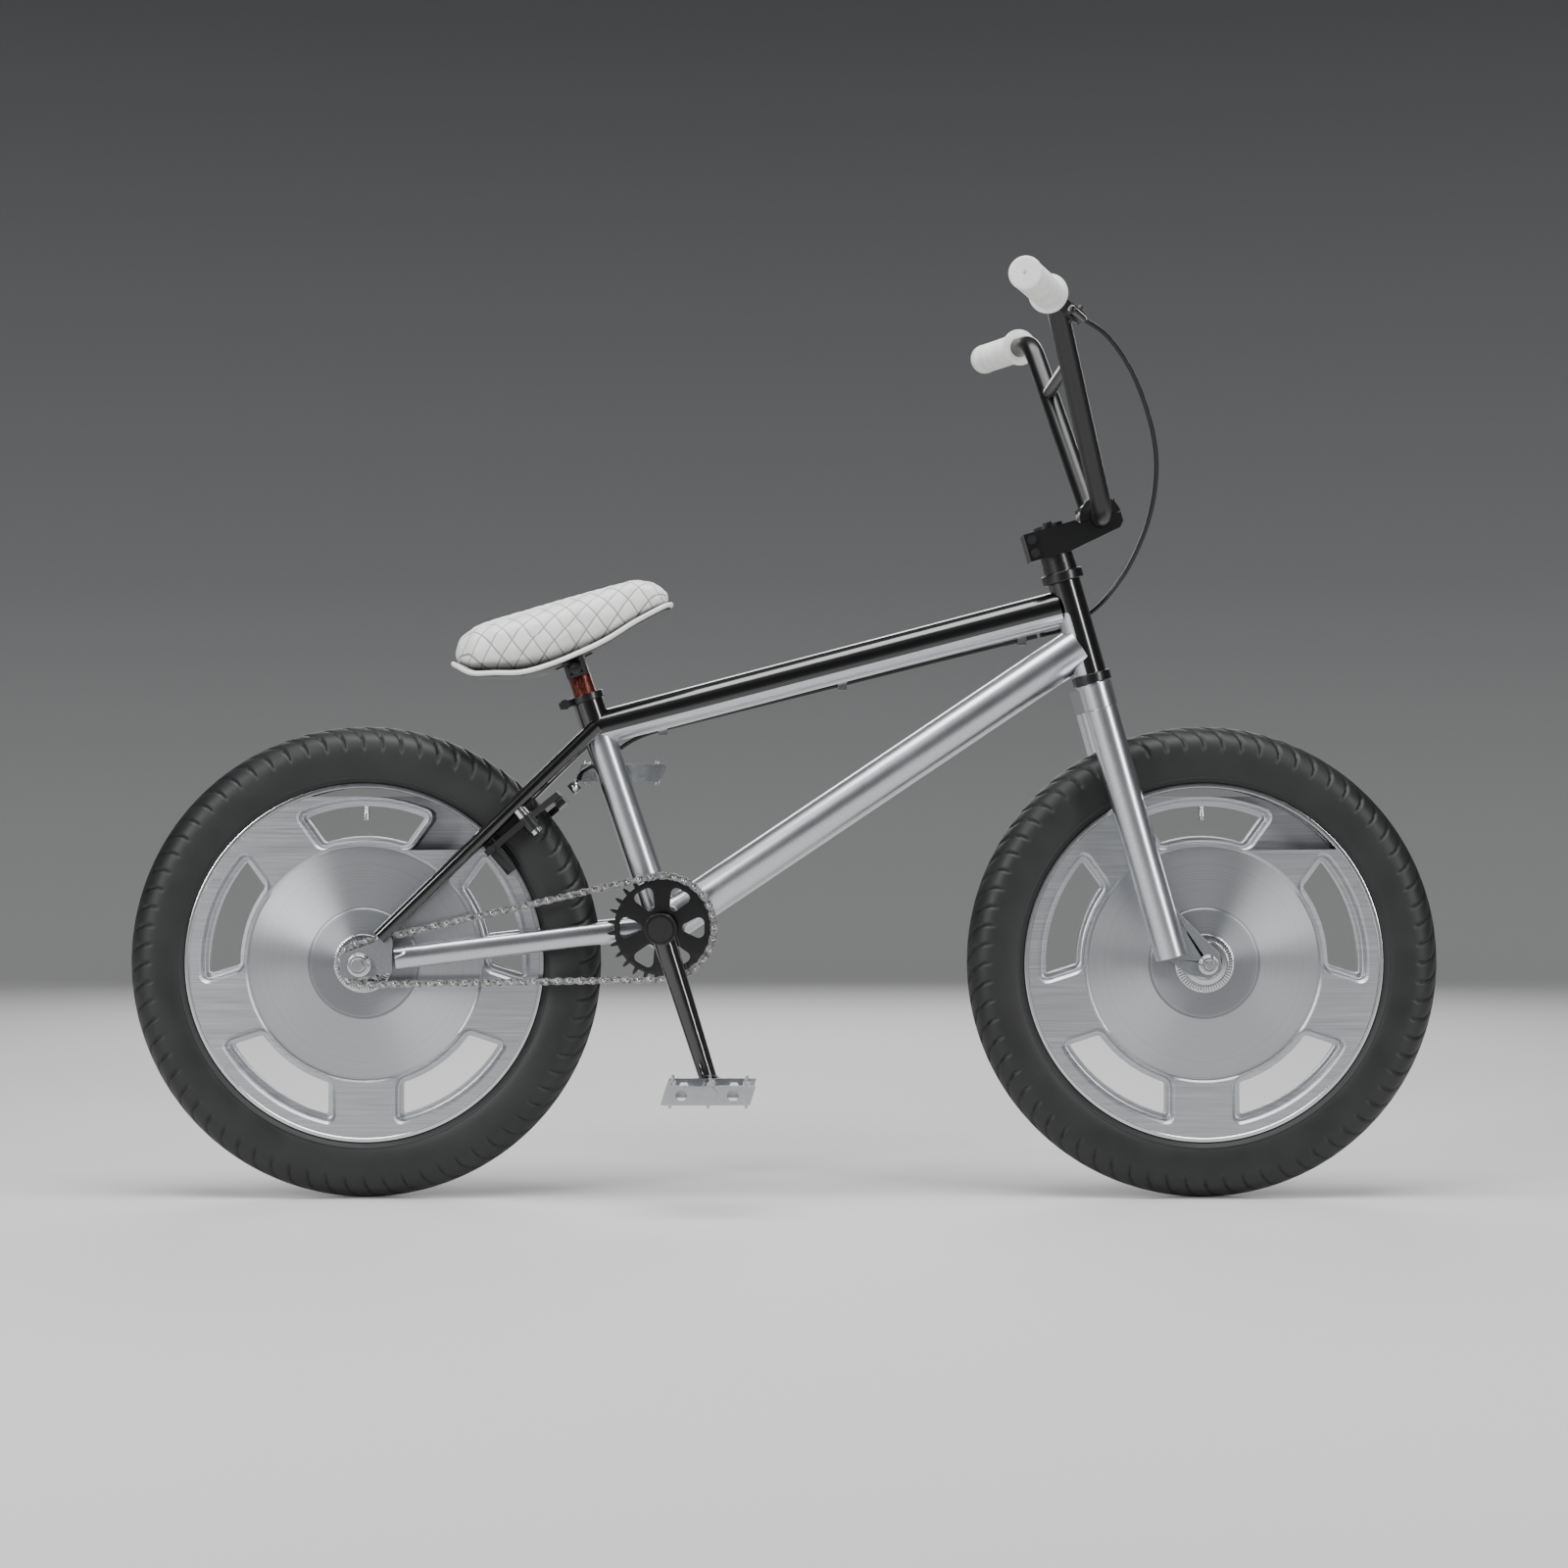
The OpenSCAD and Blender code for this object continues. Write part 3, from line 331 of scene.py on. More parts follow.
# %% Turned and brushed aluminium
def make_turned_aluminium(name="lathe_turned_aluminium", dark="#a9abb0", pale="#cdcfd3", rough=0.3):
    material, tree, shader = new_material(name, pale, metallic=1.0, roughness=rough,
                                          anisotropic=0.85, anisotropic_rotation=0.25)
    tangent = add(tree, "ShaderNodeTangent", direction_type="UV_MAP", uv_map="round_axle")
    tree.links.new(tangent.outputs[0], shader.inputs["Tangent"])
    uv = add(tree, "ShaderNodeUVMap", uv_map="round_axle").outputs["UV"]
    across = add(tree, "ShaderNodeSeparateXYZ", {0: uv}).outputs["Y"]
    lines = add(tree, "ShaderNodeTexNoise", {"W": across, "Scale": 1400.0, "Detail": 3.0},
                noise_dimensions="1D")
    tint_base(tree, shader, lines.outputs["Fac"], [(0.3, dark), (0.7, pale)])
    vary(tree, shader.inputs["Roughness"], lines.outputs["Fac"], rough - 0.06, rough + 0.08)
    return material


def make_brushed_aluminium():
    material, tree, shader = new_material("cross_brushed_aluminium", "#b9bbbf", metallic=1.0,
                                          roughness=0.34)
    lines = noise(tree, 1.0, 4.0, stretch=(12, 12, 1500))
    tint_base(tree, shader, lines, [(0.3, "#a3a5aa"), (0.7, "#c8cace")])
    vary(tree, shader.inputs["Roughness"], lines, 0.26, 0.46)
    bump(tree, shader, lines, 0.02)
    return material


# %% [markdown]
# ## Rubber, plastic and leather
# Tyre rubber is matt with a slight bloom.  The saddle is white coated leather with a pore grain about
# half a millimetre wide, and its hard base is moulded nylon with a spark-eroded texture.

# %% Rubber, plastic and leather
def make_tyre_rubber():
    material, tree, shader = new_material("tyre_rubber", "#141415", roughness=0.55)
    bloom = noise(tree, 30.0, 6.0)
    tint_base(tree, shader, bloom, [(0.3, "#0f1011"), (0.7, "#1a1b1c")])
    vary(tree, shader.inputs["Roughness"], bloom, 0.44, 0.62)
    grain = noise(tree, 900.0)
    bump(tree, shader, grain, 0.05)
    return material


def make_moulded_black(name="moulded_nylon", colour="#0e0e0f", rough=0.42):
    material, tree, shader = new_material(name, colour, roughness=rough)
    grain = add(tree, "ShaderNodeTexVoronoi", {"Vector": place(tree), "Scale": 1100.0})
    vary(tree, shader.inputs["Roughness"], grain.outputs["Distance"], rough - 0.08, rough + 0.1)
    bump(tree, shader, grain.outputs["Distance"], 0.03)
    return material


def make_white_rubber():
    material, tree, shader = new_material("white_grip_rubber", "#e3e3e1", roughness=0.5,
                                          subsurface_weight=0.08)
    grime = noise(tree, 60.0, 5.0)
    tint_base(tree, shader, grime, [(0.25, "#d6d6d3"), (0.6, "#e6e6e4")])
    grain = noise(tree, 1200.0)
    bump(tree, shader, grain, 0.03)
    return material


SEAM_GAP = 17.0


def make_white_leather():
    """The seams are a map of two crossing families, one per unit of u and one per unit of v."""
    material, tree, shader = new_material("white_coated_leather", "#f1f1f0", roughness=0.42,
                                          sheen_weight=0.15, coat_weight=0.12, coat_roughness=0.35)
    pores = add(tree, "ShaderNodeTexVoronoi", {"Vector": place(tree), "Scale": 950.0})
    tone = noise(tree, 28.0, 5.0)
    tint = ramp_colours(tree, tone, [(0.3, "#dfdfdd"), (0.65, "#ebebea")])
    uv = add(tree, "ShaderNodeUVMap", uv_map="flat_cover").outputs["UV"]
    flat = add(tree, "ShaderNodeSeparateXYZ", {0: uv})
    inputs = {0: flat.outputs["X"], 1: 0.5}
    first = add(tree, "ShaderNodeMath", inputs, operation="PINGPONG").outputs[0]
    inputs = {0: flat.outputs["Y"], 1: 0.5}
    second = add(tree, "ShaderNodeMath", inputs, operation="PINGPONG").outputs[0]
    nearest = add(tree, "ShaderNodeMath", {0: first, 1: second}, operation="MINIMUM").outputs[0]
    inputs = {"Value": nearest, "From Min": 0.35 / SEAM_GAP, "From Max": 0.9 / SEAM_GAP}
    clear = add(tree, "ShaderNodeMapRange", inputs).outputs["Result"]
    inputs = {"Factor": clear, 6: linear("#8d8d8b"), 7: tint}
    tint = add(tree, "ShaderNodeMix", inputs, data_type="RGBA").outputs[2]
    tree.links.new(tint, shader.inputs["Base Color"])
    vary(tree, shader.inputs["Roughness"], pores.outputs["Distance"], 0.36, 0.5)
    bump(tree, shader, pores.outputs["Distance"], 0.05)
    return material


# %% [markdown]
# ## Finishing the CAD parts
# Every node that stays as CAD gets its finish here.  Its mesh is loose triangles, so a Weld modifier
# joins them and a narrow Bevel rounds the edges that a tool would break, which is what catches light.

# %% Finishes for the CAD nodes
TWO_TONE = make_two_tone_paint()
GLOSS_BLACK = make_gloss_black()
SILVER = make_silver_paint()
SATIN_BLACK = make_satin_black()
BLACK_STEEL = make_satin_black("black_oxide_steel", "#1d1d1f", 0.34, 0.3)
POLISHED = make_polished_steel()
BLACK_ALLOY = make_satin_black("black_anodised_brake_arm", "#18181a", 0.36, 0.4)
DROPOUT = make_dropout_steel()
PEDAL = make_pedal_aluminium()
CHAIN_STEEL = make_chain_steel()
RED_POST = make_red_anodised()
TURNED = make_turned_aluminium()
BRUSHED = make_brushed_aluminium()
RUBBER = make_tyre_rubber()
NYLON = make_moulded_black()
HOUSING = make_moulded_black("cable_housing_plastic", "#0b0b0c", 0.3)
WHITE_RUBBER = make_white_rubber()
LEATHER = make_white_leather()

CAD_FINISH = {
    TWO_TONE: ["head_tube", "top_tube", "seat_tube"],
    GLOSS_BLACK: ["seat_stays", "crossbar", "right_crank_arm", "left_crank_arm", "sprocket"],
    SILVER: ["down_tube", "bottom_bracket_shell", "chain_stays", "fork_legs", "fork_crown"],
    SATIN_BLACK: ["headset_cups", "seat_clamp", "headset_spacers", "stem", "stem_cap",
                  "lever_bracket", "brake_lever"],
    BLACK_STEEL: ["seat_clamp_bolt", "stem_bolts", "crank_spindle", "pedal_axles", "saddle_bolt"],
    POLISHED: ["bottom_bracket_bearings", "rear_axle", "rear_axle_nuts", "brake_posts", "front_axle",
               "front_axle_nuts", "fork_steerer", "front_hub_bearings",
               "rear_hub_bearings", "front_valve", "rear_valve", "straddle_cable", "cable_guides"],
    BLACK_ALLOY: ["right_brake_arm", "left_brake_arm"],
    DROPOUT: ["rear_dropouts", "fork_dropouts"],
    PEDAL: ["right_pedal", "left_pedal"],
    CHAIN_STEEL: ["chain", "rear_cog"],
    RED_POST: ["seat_post"],
    NYLON: ["saddle_base"],
    HOUSING: ["rear_brake_cable", "brake_cable_loop", "handlebar"],
    WHITE_RUBBER: ["grips", "bar_end_plugs"],
    RUBBER: ["front_tyre", "rear_tyre", "right_brake_shoe", "left_brake_shoe"],
    BRUSHED: ["front_wheel", "rear_wheel"],
    LEATHER: ["saddle_pad"],
}
EDGE_MM = {"right_pedal": 0.6, "left_pedal": 0.6, "stem": 1.6, "stem_cap": 1.4, "fork_crown": 4.0,
           "fork_legs": 0.8, "fork_dropouts": 0.8, "rear_dropouts": 0.8, "right_crank_arm": 1.2,
           "left_crank_arm": 1.2, "sprocket": 0.35, "rear_cog": 0.3, "seat_clamp": 0.8,
           "lever_bracket": 1.2, "headset_spacers": 0.5, "headset_cups": 1.0,
           "rear_axle_nuts": 0.6, "front_axle_nuts": 0.6, "crank_spindle": 1.0, "stem_bolts": 0.5,
           "right_brake_arm": 0.9, "left_brake_arm": 0.9, "head_tube": 0.5, "seat_tube": 0.5,
           "seat_clamp_bolt": 0.5, "cable_guides": 0.8, "bottom_bracket_shell": 0.6,
           "rear_axle": 0.6, "front_axle": 0.6, "brake_posts": 0.6}


def soften(obj, width_mm, smooth_degrees=35):
    """Joins an object's loose triangles, rounds its sharp edges and smooths the rest."""
    obj.data.shade_smooth()
    weld = obj.modifiers.new("join", "WELD")
    weld.merge_threshold = 0.01 * MM
    if width_mm:
        bevel = obj.modifiers.new("broken_edges", "BEVEL")
        bevel.width = width_mm * MM
        bevel.segments = 2
        bevel.limit_method = "ANGLE"
        bevel.angle_limit = math.radians(smooth_degrees)
        bevel.use_clamp_overlap = True
        bevel.harden_normals = False
    even = obj.modifiers.new("even_shading", "WEIGHTED_NORMAL")
    even.keep_sharp = True


for finish, nodes in CAD_FINISH.items():
    for node in nodes:
        part = frame["nodes"][node]
        part.data.materials.clear()
        part.data.materials.append(finish)
        soften(part, EDGE_MM.get(node, 0))
print("finished", sum(len(nodes) for nodes in CAD_FINISH.values()), "CAD nodes")

# %% [markdown]
# ## Stage
# A pale floor and soft studio light: one wide box overhead, two long ones at the camera's side for
# the streaks on the tubes, and a fill behind.

# %% Stage
def make_stage():
    """A round paper sweep: a flat floor that curves up 6 m away, pale below and darker above, the
    darkening being painted shade for the light falling off up the sweep.
    """
    material, tree, shader = new_material("pale_paper", "#d9d9d8", roughness=0.8)
    height = add(tree, "ShaderNodeSeparateXYZ", {0: place(tree)}).outputs["Z"]
    # painted shade: the paper's colour darkens with height, standing in for the light falling off up
    # the sweep
    level = add(tree, "ShaderNodeMapRange", {"Value": height, "From Max": 3.2}).outputs["Result"]
    tint_base(tree, shader, level, [(0.0, "#d4d4d3"), (0.35, "#a4a5a6"), (1.0, "#6c6d6f")])
    profile = [(0.0, 0.0), (4.0, 0.0)]
    profile += [(4.0 + 3.0 * math.sin(t), 3.0 - 3.0 * math.cos(t))
                for t in (math.radians(90 * k / 16) for k in range(1, 17))] + [(7.0, 5.0)]
    mesh = bpy.data.meshes.new("floor")
    shape = bmesh.new()
    ring = [shape.verts.new((radius, 0, height)) for radius, height in profile]
    edges = [shape.edges.new(pair) for pair in zip(ring, ring[1:])]
    bmesh.ops.spin(shape, geom=ring + edges, axis=(0, 0, 1), cent=(0, 0, 0), dvec=(0, 0, 0),
                   angle=math.tau, steps=96, use_merge=True)
    bmesh.ops.recalc_face_normals(shape, faces=shape.faces)
    shape.to_mesh(mesh)
    shape.free()
    mesh.shade_smooth()
    mesh.materials.append(material)
    floor = bpy.data.objects.new("floor", mesh)
    bpy.context.scene.collection.objects.link(floor)


def softbox(name, place_at, aim, size, power):
    """An area light that looks at a point."""
    lamp = bpy.data.lights.new(name, "AREA")
    lamp.shape = "RECTANGLE"
    lamp.size, lamp.size_y = size
    lamp.energy = power
    holder = bpy.data.objects.new(name, lamp)
    holder.location = place_at
    holder.rotation_euler = (Vector(aim) - Vector(place_at)).to_track_quat("-Z", "Y").to_euler()
    bpy.context.scene.collection.objects.link(holder)


make_stage()
softbox("overhead", (0, -0.6, 2.9), (0, 0, 0.4), (3.0, 1.2), 105)
softbox("key_left", (-2.4, -2.6, 1.7), (0, 0, 0.5), (0.5, 2.2), 85)
softbox("key_right", (2.6, -2.4, 1.5), (0, 0, 0.5), (0.5, 2.2), 60)
softbox("back_fill", (0, 3.0, 1.8), (0, 0, 0.5), (3.0, 1.2), 60)
world = bpy.data.worlds.new("studio")
world.use_nodes = True
world.node_tree.nodes["Background"].inputs["Color"].default_value = linear("#a9abae")
world.node_tree.nodes["Background"].inputs["Strength"].default_value = 0.35
bpy.context.scene.world = world

# %% [markdown]
# ## Helpers for shapes
# Pieces are built in place, so each object stays at the origin and only its vertices carry a
# position.  A piece is one mesh that rides on a CAD body and stands for the nodes it replaces.

# %% Shape helpers
def clean(shape):
    """Joins vertices that lie on each other and turns every face outward."""
    bmesh.ops.remove_doubles(shape, verts=shape.verts, dist=0.004 * MM)
    bmesh.ops.recalc_face_normals(shape, faces=shape.faces)


def finish_piece(name, shape, finishes, body, *replaced, smooth=40):
    """Turns a bmesh into an object with these finishes, riding on a body."""
    mesh = bpy.data.meshes.new(name)
    shape.to_mesh(mesh)
    shape.free()
    for finish in finishes:
        mesh.materials.append(finish)
    mesh.shade_smooth()
    mesh.set_sharp_from_angle(angle=math.radians(smooth))
    piece = bpy.data.objects.new(name, mesh)
    bpy.context.scene.collection.objects.link(piece)
    even = piece.modifiers.new("even_shading", "WEIGHTED_NORMAL")
    even.keep_sharp = True
    if body:
        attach(piece, body)
    if replaced:
        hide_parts(*replaced)
    mesh.calc_loop_triangles()
    print(name, "has", len(mesh.loop_triangles), "triangles")
    return piece


def spin_profile(shape, profile_mm, steps, finish=0):
    """Spins (radius, side) points in millimetres round the Y axis, as rings of vertices."""
    rings = []
    for radius, side in profile_mm:
        rings.append([shape.verts.new((radius * MM * math.sin(math.tau * k / steps), side * MM,
                                       radius * MM * math.cos(math.tau * k / steps)))
                      for k in range(steps)])
    loft(shape, rings, finish=finish)
    return rings


def loft(shape, loops, closed=True, finish=0):
    """Joins loops with the same number of vertices by bands of quads."""
    count = len(loops[0])
    for near, far in zip(loops, loops[1:]):
        for i in range(count if closed else count - 1):
            j = (i + 1) % count
            face = shape.faces.new((near[i], near[j], far[j], far[i]))
            face.material_index = finish


def sweep(shape, path, section, sides=24, caps=True, finish=0):
    """A tube along points.  section(i) gives the (width, height) radii at point i in metres."""
    ahead = [(path[min(i + 1, len(path) - 1)] - path[max(i - 1, 0)]).normalized()
             for i in range(len(path))]
    across = ahead[0].orthogonal().normalized()
    loops = []
    for i, (point, direction) in enumerate(zip(path, ahead)):
        across = (across - direction * across.dot(direction)).normalized()
        up = direction.cross(across)
        wide, high = section(i)
        loops.append([shape.verts.new(point + across * wide * math.cos(t) + up * high * math.sin(t))
                      for t in (math.tau * k / sides for k in range(sides))])
    loft(shape, loops, finish=finish)
    if caps:
        shape.faces.new(loops[0]).material_index = finish
        shape.faces.new(loops[-1]).material_index = finish
    return loops


def smooth_path(points, per_span=8):
    """Points along a Catmull-Rom curve through the given ones."""
    padded = [points[0] * 2 - points[1]] + list(points) + [points[-1] * 2 - points[-2]]
    curve = []
    for a, b, c, d in zip(padded, padded[1:], padded[2:], padded[3:]):
        for k in range(per_span):
            t = k / per_span
            curve.append(0.5 * ((2 * b) + (c - a) * t + (2 * a - 5 * b + 4 * c - d) * t ** 2
                                + (3 * b - a - 3 * c + d) * t ** 3))
    return curve + [points[-1]]


# %% [markdown]
# ## Cast wheels
# A real one is a cast and machined aluminium wheel: a dished centre faced on a lathe, five broad
# spokes, and a rim in one piece.  The dish and the rim are spun profiles.  The flat ring between them
# is filled around five window outlines, and each window's wall is a set of inset copies of its
# outline lofted from one face to the other: a chamfered lip, a deep wall and a ledge at the middle.
# A boolean would leave long thin triangles at the lips, and the loft gives clean bands for the light.

# %% Wheel measures and window outline
WINDOWS = 5
SPOKE_HALF = 31.0
WINDOW_IN, WINDOW_OUT = 129.0, 183.0
WINDOW_CORNER = 13.0
FACE_SIDE = 19.6
DISH = [(132.0, 19.6), (131.85, 19.4), (131.1, 18.8), (130.2, 17.9), (129.4, 17.45), (128.2, 17.25),
        (120, 17.75), (110, 18.45), (100, 19.2), (90, 20.0), (80, 20.85), (70, 21.7), (61.8, 22.4)]
HUB_DISC = [(61.8, 22.4), (60.6, 22.55), (60.2, 23.2), (59.6, 24.4), (58.6, 24.9), (57.4, 25.0),
            (50, 25.5), (42, 26.0), (34, 26.5), (32.2, 26.6)]
HUB_RING = [(32.2, 26.6), (31.6, 27.0), (31.2, 28.4), (30.4, 28.8), (26.0, 29.0), (25.3, 28.6),
            (25.0, 27.6), (24.6, 27.6), (24.2, 32.6), (23.4, 33.6), (18.4, 33.9), (18.2, 33.2),
            (18.2, 20.0)]
RIM_EDGE = [(192.4, 19.6), (192.65, 19.3), (193.2, 19.3), (193.9, 19.9), (196.6, 20.0),
            (197.5, 19.7), (197.95, 19.0), (197.95, 16.0), (197.0, 15.4), (197.0, 0.0)]


def side_angle(radius, spoke_half):
    """Half the window's angle at a radius, for a spoke with parallel sides."""
    return math.radians(180 / WINDOWS) - math.asin(spoke_half / radius)


def window_outline(inset, centre):
    """One window's outline as (x, z) in millimetres, shrunk by inset all round."""
    inner, outer = WINDOW_IN + inset, WINDOW_OUT - inset
    spoke, corner = SPOKE_HALF + inset, WINDOW_CORNER - inset
    half = []
    for k in range(13):
        reach = side_angle(outer, spoke) - corner / outer
        half.append((reach * k / 12, outer))
    for k in range(1, 9):
        turn = math.radians(90 * k / 8)
        radius = outer - corner * (1 - math.cos(turn))
        half.append((side_angle(radius, spoke) - corner * (1 - math.sin(turn)) / radius, radius))
    for k in range(1, 5):
        radius = outer - corner + (inner + corner - (outer - corner)) * k / 5
        half.append((side_angle(radius, spoke), radius))
    for k in range(9):
        turn = math.radians(90 * k / 8)
        radius = inner + corner * (1 - math.sin(turn))
        half.append((side_angle(radius, spoke) - corner * (1 - math.cos(turn)) / radius, radius))
    for k in range(1, 11):
        reach = side_angle(inner, spoke) - corner / inner
        half.append((reach * (1 - k / 10), inner))
    whole = half + [(-angle, radius) for angle, radius in half[-2:0:-1]]
    return [(radius * math.sin(centre + angle), radius * math.cos(centre + angle))
            for angle, radius in whole]


print("points round a window:", len(window_outline(0, 0)))


# %% Build the wheels
WINDOW_STEPS = [(0.0, 19.6), (0.14, 19.42), (0.5, 19.1), (2.7, 17.2), (3.3, 16.4), (3.7, 15.4),
                (4.6, 7.4), (5.0, 6.6), (5.8, 6.2), (9.4, 5.8), (10.0, 5.4), (10.3, 4.6), (10.4, 0.0)]


def circle_loop(shape, radius, side, count=240):
    """A closed loop of vertices with their edges, facing along Y."""
    loop = [shape.verts.new((radius * MM * math.sin(math.tau * k / count), side * MM,
                             radius * MM * math.cos(math.tau * k / count))) for k in range(count)]
    return loop, [shape.edges.new((loop[k], loop[(k + 1) % count])) for k in range(count)]


def half_wheel(shape, side):
    """One side of the wheel: side is -1 for the drive side and 1 for the other."""
    edges = circle_loop(shape, DISH[0][0], side * FACE_SIDE)[1]
    edges += circle_loop(shape, RIM_EDGE[0][0], side * FACE_SIDE)[1]
    for window in range(WINDOWS):
        centre = math.tau * window / WINDOWS
        loops = []
        for inset, depth in WINDOW_STEPS:
            loops.append([shape.verts.new((x * MM, side * depth * MM, z * MM))
                          for x, z in window_outline(inset, centre)])
        loft(shape, loops, finish=1)
        lip = loops[0]
        edges += [shape.edges.get((lip[k - 1], lip[k])) for k in range(len(lip))]
    filled = bmesh.ops.triangle_fill(shape, use_beauty=True, use_dissolve=False, edges=edges,
                                     normal=(0, side, 0))
    for item in filled["geom"]:
        if isinstance(item, bmesh.types.BMFace):
            item.material_index = 1
    parts = [(DISH, 0), (HUB_DISC, 2), (HUB_RING, 3), (RIM_EDGE, 3)]
    for profile, finish in parts:
        spin_profile(shape, [(radius, side * depth) for radius, depth in profile], 240, finish)


def serrate_hub_ring(shape, teeth=60):
    """Cuts radial notches in the raised ring round the hub."""
    for vertex in shape.verts:
        radius = math.hypot(vertex.co.x, vertex.co.z) / MM
        if 25.2 < radius < 31.0 and abs(vertex.co.y) > 28.3 * MM:
            angle = math.atan2(vertex.co.x, vertex.co.z)
            if math.cos(teeth * angle) < -0.5:
                vertex.co.y *= 1 - 0.9 * MM / abs(vertex.co.y)


def map_round_axle(shape):
    """A UV map whose u runs round the axle and v out from it, in metres."""
    layer = shape.loops.layers.uv.new("round_axle")
    for face in shape.faces:
        middle = face.calc_center_median()
        base = math.atan2(middle.x, middle.z)
        for corner in face.loops:
            place_at = corner.vert.co
            angle = math.atan2(place_at.x, place_at.z)
            angle += math.tau * round((base - angle) / math.tau)
            corner[layer].uv = (angle / math.tau, math.hypot(place_at.x, place_at.z))


def build_wheel(name, axle, body, finishes):
    shape = bmesh.new()
    for side in (-1, 1):
        half_wheel(shape, side)
    clean(shape)
    for face in shape.faces:
        middle = face.calc_center_median()
        if abs(face.normal.y) > 0.999 and face.normal.y * middle.y < 0:
            face.normal_flip()
    serrate_hub_ring(shape)
    map_round_axle(shape)
    bmesh.ops.translate(shape, verts=shape.verts, vec=axle)
    piece = finish_piece(name + "_cast", shape, finishes, body, name, smooth=32)
    for polygon in piece.data.polygons:
        if polygon.material_index == 1:
            polygon.use_smooth = False
    return piece


HUB_GREY = make_turned_aluminium("turned_hub_disc", "#8d8f93", "#a2a4a8", 0.36)
WHEEL_FINISHES = [TURNED, BRUSHED, HUB_GREY, POLISHED]
for name, axle in (("front_wheel", FRONT_AXLE), ("rear_wheel", REAR_AXLE)):
    build_wheel(name, axle, name + "_body", WHEEL_FINISHES)

# %% [markdown]
# ## Tyres
# A moulded slick for street and park riding: a smooth sidewall, one thin rib by the rim, and curved
# slashes across the shoulder.  The section is spun in steps finer than a slash is wide.  Each
# slash is then pressed in by moving vertices along the normal, so its edges stay rounded as rubber
# moulding leaves them.  The crown pattern carries the slashes nearly to the centre line.

# %% Tyres
SLASHES = 72
TYRE_STEPS = 1080
TYRE_SECTION = [(196.2, 15.6), (197.6, 17.2), (199.2, 19.4), (201.0, 21.0), (202.2, 21.8),
                (202.9, 22.7), (204.3, 23.3), (204.9, 22.9), (207, 23.9), (211, 25.0), (216, 25.9),
                (222, 26.6), (228, 26.95), (232, 27.0), (234.5, 26.9), (237, 26.6), (239.5, 26.1),
                (242, 25.3), (244.5, 24.2), (247, 22.7), (249.5, 20.7), (252, 18.1), (254, 15.3),
                (255.8, 12.2), (257.3, 9.0), (258.4, 6.0), (259.3, 3.6), (259.8, 1.8), (260.0, 0.0)]


def slash_depth(radius, side, angle):
    """How deep in millimetres the tread is cut at a place on the tyre."""
    if radius < 233 or abs(side) < 2.5:
        return 0.0
    along = min(1.0, (27.0 - abs(side)) / 24.5)
    fade = min(1.0, (radius - 233) / 5.0)
    lean = math.radians(5.2) * along ** 1.4
    start = 0.0 if side > 0 else 0.5
    pitch = ((angle + lean) / math.tau * SLASHES + start) % 1.0
    gap = abs(pitch - 0.5) * 22.7
    return 1.9 * fade * max(0.0, min(1.0, (2.3 - gap) / 1.3))


def build_tyre(name, axle, body):
    shape = bmesh.new()
    section = TYRE_SECTION + [(radius, -side) for radius, side in TYRE_SECTION[-2::-1]]
    spin_profile(shape, section, TYRE_STEPS)
    clean(shape)
    moves = []
    for vertex in shape.verts:
        x, y, z = vertex.co / MM
        depth = slash_depth(math.hypot(x, z), y, math.atan2(x, z))
        if depth:
            moves.append((vertex, vertex.normal * depth * MM))
    for vertex, move in moves:
        inward = -1 if move.dot(Vector((vertex.co.x, 0, vertex.co.z))) > 0 else 1
        vertex.co += move * inward
    bmesh.ops.translate(shape, verts=shape.verts, vec=axle)
    return finish_piece(name + "_moulded", shape, [RUBBER], body, name, smooth=50)


for name, axle in (("front", FRONT_AXLE), ("rear", REAR_AXLE)):
    build_tyre(name + "_tyre", axle, name + "_wheel_body")

# %% [markdown]
# ## Handlebar and crossbar
# The bar is one bent steel tube with two sweeps, so it is a circle swept along its bent centre line.
# The bends are quadratic curves, as in the CAD model, with more steps so that the highlight runs
# smoothly round them.  The real crossbar is a flattened tube welded between the uprights; here it is
# swept with a round section.

# %% Handlebar and crossbar
def mm(x, y, z):
    return Vector((x, y, z)) * MM


def mirrored(points):
    return [Vector((p.x, -p.y, p.z)) for p in points]


def bend(before, corner, after, reach, steps=14):
    """Points round a corner of a bent tube, starting and ending at reach from it."""
    start = corner + (before - corner).normalized() * reach
    end = corner + (after - corner).normalized() * reach
    ts = [k / steps for k in range(steps + 1)]
    return [start * (1 - t) ** 2 + corner * 2 * t * (1 - t) + end * t ** 2 for t in ts]


BAR_LOW = on_head(56 * MM, 0, 56.5 * MM)
BAR_MID = BAR_LOW + mm(0, 54, 0)
BAR_TOP = mm(286.5, 165, 968)
BAR_END = mm(243, 322, 971)
BAR_RADIUS = 11.1 * MM


def upright_at(height):
    """The upright's centre at a height, on the left side."""
    return BAR_MID + (BAR_TOP - BAR_MID) * (height - BAR_MID.z) / (BAR_TOP.z - BAR_MID.z)


def build_bar():
    left = [BAR_LOW] + bend(BAR_LOW, BAR_MID, BAR_TOP, 27 * MM)
    left += bend(BAR_MID, BAR_TOP, BAR_END, 20 * MM) + [BAR_END]
    route = mirrored(left[:0:-1]) + left
    shape = bmesh.new()
    sweep(shape, route, lambda i: (BAR_RADIUS, BAR_RADIUS), sides=40)
    clean(shape)
    return finish_piece("bent_bar", shape, [BAR_PAINT], "steering", "handlebar", smooth=30)


def build_crossbar():
    end = upright_at(906 * MM)
    inner = end - mm(0, 9.5, 0)
    ts = [k / 24 for k in range(25)]
    route = [mirrored([inner])[0] * (1 - t) + inner * t for t in ts]
    shape = bmesh.new()
    sweep(shape, route, lambda i: (7.4 * MM, 7.4 * MM), sides=32)
    clean(shape)
    return finish_piece("welded_crossbar", shape, [BAR_PAINT], "steering", "crossbar")


